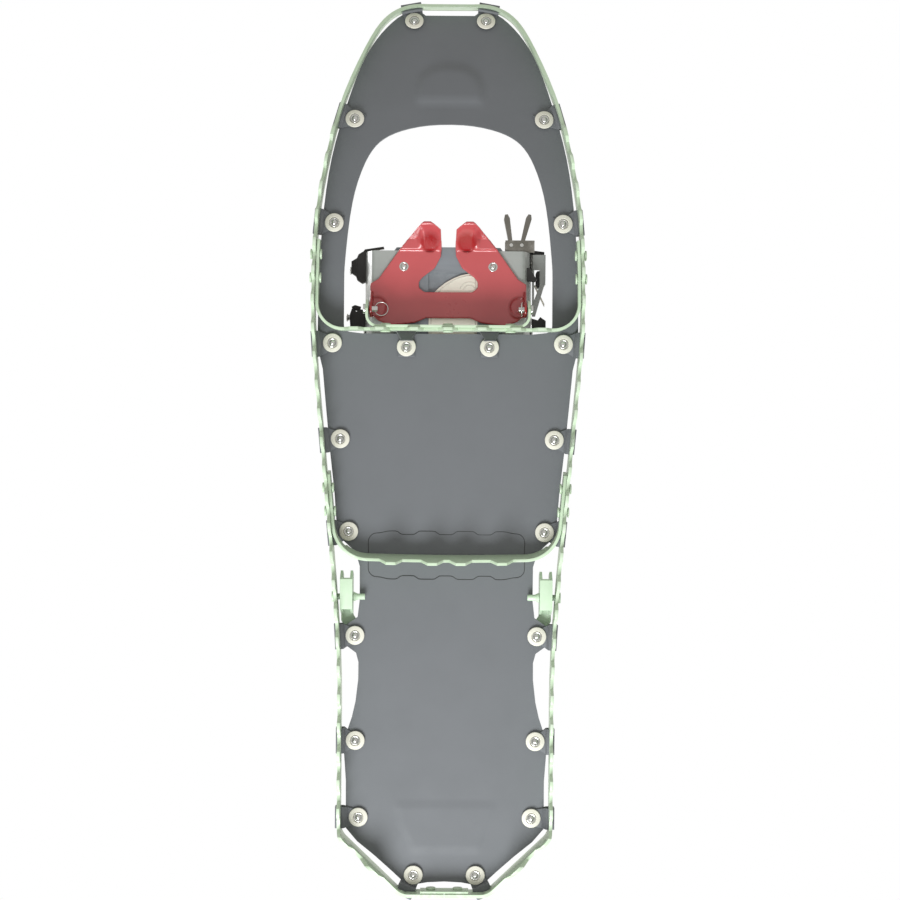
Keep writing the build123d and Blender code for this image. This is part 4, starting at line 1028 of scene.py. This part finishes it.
def makeCenterStrap():
    look = centerStrapLook
    strap = flatPart("centerStrap", look["outline"], look["low"], look["high"], 0.3 * mm)
    settle(strap, "binding", "creamRubber", ("center_strap",))
    level = look["low"] * mm
    middle, half, inset = look["middle"], look["halfSize"], look["beadInset"]
    share = [1 - inset / size for size in half]
    line = [
        ((middle[0] + (x - middle[0]) * share[0]) * mm, (middle[1] + (y - middle[1]) * share[1]) * mm, level)
        for x, y in look["outline"]
    ]
    # the bead and the arcs take the darker cream finish as painted shade for the strap's grooves
    bead = tube("centerStrapBead", line, look["beadRadius"] * mm, closed=True)
    settle(bead, "binding", "creamWasher")
    cx, cy = look["arcCentre"]
    for number, radius in enumerate(look["arcRadii"]):
        angles = [math.radians(20 + 11 * index) for index in range(15)]
        line = [(cx + radius * math.cos(a), cy + radius * math.sin(a)) for a in angles]
        line = [(x * mm, y * mm, level) for x, y in line if x > -19]
        arc = tube(f"centerStrapArc{number}", line, 0.35 * mm)
        settle(arc, "binding", "creamWasher")


makeCenterStrap()


# boot pad with small studs

bootPadLook = {"pitch": 8.0, "studRadius": 2.3, "studHigh": 0.6, "inset": 8.0}


def makeBootPad():
    look = bootPadLook
    softened("boot_pad", "binding", "blackRubber", 0.6 * mm, steps=3)
    low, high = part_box("boot_pad")
    pitch, inset = look["pitch"] * mm, look["inset"] * mm
    spots = []
    rows = int((high.y - low.y - 2 * inset) / (pitch * 0.866)) + 1
    for row in range(rows):
        y = low.y + inset + row * pitch * 0.866
        columns = int((high.x - low.x - 2 * inset) / pitch) + 1 - row % 2
        for column in range(columns):
            x = (column - (columns - 1) / 2) * pitch
            spots.append(upright(x, y, high.z - 0.1 * mm))
    radius, top = look["studRadius"], look["studHigh"]
    stud = lathe([(0, 0), (radius, 0), (radius * 0.9, top * 0.7), (radius * 0.7, top), (0, top)], 6)
    studs = placeParts("bootPadStuds", stud, spots, "blackRubber", spread=0.03)
    settle(studs, "binding", "blackRubber")


makeBootPad()
print("stage: binding base and pads")


# harness: wings, arm, anchors, straps

for side in ("right", "left"):
    softened("wing_" + side, "binding", "pearlPlastic", 0.8 * mm, steps=3)
softened("wing_pad", "binding", "blackRubber", 0.8 * mm, steps=3)

armParts = {
    "armFloor": (
        [(-60.6, 136), (-69.9, 136), (-69.9, 117), (-62.6, 91.5), (-60.6, 91.5), (-60.6, 100), (-65.6, 113.4),
         (-65.6, 125), (-60.6, 125)], 44.6, 46.8,
    ),
    "armWall": ([(-68.9, 136), (-69.9, 136), (-69.9, 114.5), (-68.9, 114.5)], 46.4, 66.5),
    "armRoot": ([(-60.4, 135.5), (-61.8, 135.5), (-61.8, 91.8), (-60.4, 91.8)], 44.8, 50.2),
    "armBrace": ([(-61.6, 113.6), (-62.6, 114.6), (-69.4, 100.6), (-69.2, 98.4)], 47.2, 48.4),
}


def makeArm():
    for name, (outline, low, high) in armParts.items():
        part = flatPart(name, outline, low, high, 0.3 * mm)
        replaced = ("outer_arm",) if name == "armFloor" else ()
        look = "creamRubber" if name == "armBrace" else "pearlPlastic"
        settle(part, "binding", look, replaced)


makeArm()

blackParts = {
    "anchor_front": [
        ([(59.2, 116.5), (62.5, 115.2), (66, 117.5), (66.8, 120), (66.8, 132), (65.2, 136), (62, 138),
          (59.2, 138)], 50.5, 61),
        ([(66.2, 119.8), (70.3, 122.6), (70.3, 131), (66.2, 133.6)], 52, 59.5),
        ([(59.4, 137.4), (62.4, 137.2), (60.6, 139.8), (47, 141.9), (46.6, 140.5), (58.6, 138.4)], 52, 59.5),
    ],
    "anchor_rear": [
        ([(59.2, 83.4), (70.8, 83.4), (71.4, 92), (69.6, 97.2), (66.4, 94.6), (63.6, 96.4),
          (59.2, 95.6)], 50.8, 61.2),
        ([(64, 95), (68.2, 95.8), (70.2, 98.2), (67.6, 99.6), (63.2, 98.4)], 53.5, 58),
    ],
    "grip_inner": [
        ([(-47.6, 124.8), (-49.2, 126), (-58.2, 125.6), (-63.4, 117), (-62, 115.4),
          (-52, 116.4)], 34.4, 36.2),
    ],
    "buckle_bar": [
        ([(-52.5, 139.2), (-60.5, 139.6), (-69.2, 138.6), (-69.2, 135.9), (-60, 136.6),
          (-52.5, 136.8)], 50, 57.5),
    ],
    "buckle_rear": [
        ([(-60.4, 82.6), (-70.4, 83), (-70.4, 88.6), (-66.4, 91.4), (-64.6, 89), (-60.4, 90.2)], 46.5, 52.5),
    ],
}


def makeBlackParts():
    for name, parts in blackParts.items():
        for number, (outline, low, high) in enumerate(parts):
            part = flatPart(f"{name}_{number}", outline, low, high, 0.5 * mm)
            replaced = (name,) if number == 0 and name in nodes else ()
            settle(part, "binding", "blackPlastic", replaced)


makeBlackParts()
for nodeName, edge in (("harness_rivets", 0.4), ("heel_strap_rivets", 0.4), ("lock_pins", 0.3)):
    softened(nodeName, "binding", "rivetSteel", edge * mm, steps=3)
softened("lock_base", "binding", "darkMetal", 0.35 * mm)
softened("lever_inner", "lever_in", "darkMetal", 0.7 * mm, steps=3)
softened("lever_outer", "lever_out", "darkMetal", 0.7 * mm, steps=3)
softened("heel_slider", "heel_loop", "blackPlastic", 0.4 * mm)
softened("heel_lever", "heel_catch", "darkMetal", 0.5 * mm, steps=3)
softened("heel_lever_pin", "heel_loop", "rivetSteel", 0.2 * mm)
for nodeName in ("toe_strap", "instep_strap"):
    softened(nodeName, "binding", "creamRubber", 0.7 * mm, steps=3)
heelStrapLook = {"cornerLift": 2.2, "cornerReach": 6.0, "middle": 53.0}


def makeHeelStrap():
    # the lower front corner is drawn up, so it swings clear of the wing's bend
    look = heelStrapLook
    strap = softened("heel_strap", "heel_loop", "creamRubber", 0.7 * mm, steps=3)
    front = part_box("heel_strap")[1].y
    for vert in strap.data.vertices:
        if vert.co.z < look["middle"] * mm:
            vert.co.z += look["cornerLift"] * mm * ease(vert.co.y, front - look["cornerReach"] * mm, front)


makeHeelStrap()
print("stage: harness")


# ladder steps on the straps

ladderLook = {"pitch": 6.0, "high": 0.9, "wide": 2.6}


def surfaceSpots(nodeName, origins, toward, along):
    # points where rays from origins meet the node's outer side
    bm = weldedMesh(nodeName, dissolve=0)
    tree = BVHTree.FromBMesh(bm)
    spots = []
    for origin, way in zip(origins, toward):
        hit, normal, _, _ = tree.ray_cast(Vector(origin), Vector(way))
        if hit:
            spots.append((hit - normal * 0.1 * mm, normal, Vector(along)))
    bm.free()
    return spots


def makeLadders():
    look = ladderLook
    low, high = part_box("heel_strap")
    middle = (low.z + high.z) / 2
    origins, ways = [], []
    for side in (-1, 1):
        for index in range(12):
            origins.append((side * 0.2, (14 - index * look["pitch"]) * mm, middle))
            ways.append((-side, 0, 0))
    spots = surfaceSpots("heel_strap", origins, ways, (0, 0, 1))
    bars = placeParts("heelStrapSteps", barMesh(9.0, look["wide"], look["high"]), spots, "creamRubber")
    settle(bars, "heel_loop", "creamRubber")
    for nodeName, count in (("toe_strap", 11), ("instep_strap", 13)):
        low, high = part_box(nodeName)
        y = (low.y + high.y) / 2
        half = (high.x - low.x) / 2 * 0.62
        origins = [((index / (count - 1) * 2 - 1) * half, y, 0.2) for index in range(count)]
        spots = surfaceSpots(nodeName, origins, [(0, 0, -1)] * count, (0, 1, 0))
        length = (high.y - low.y) / mm * 0.62
        step = barMesh(length, look["wide"], look["high"])
        bars = placeParts(nodeName + "_steps", step, spots, "creamRubber")
        settle(bars, "binding", "creamRubber")


makeLadders()
print("stage: strap ladders")
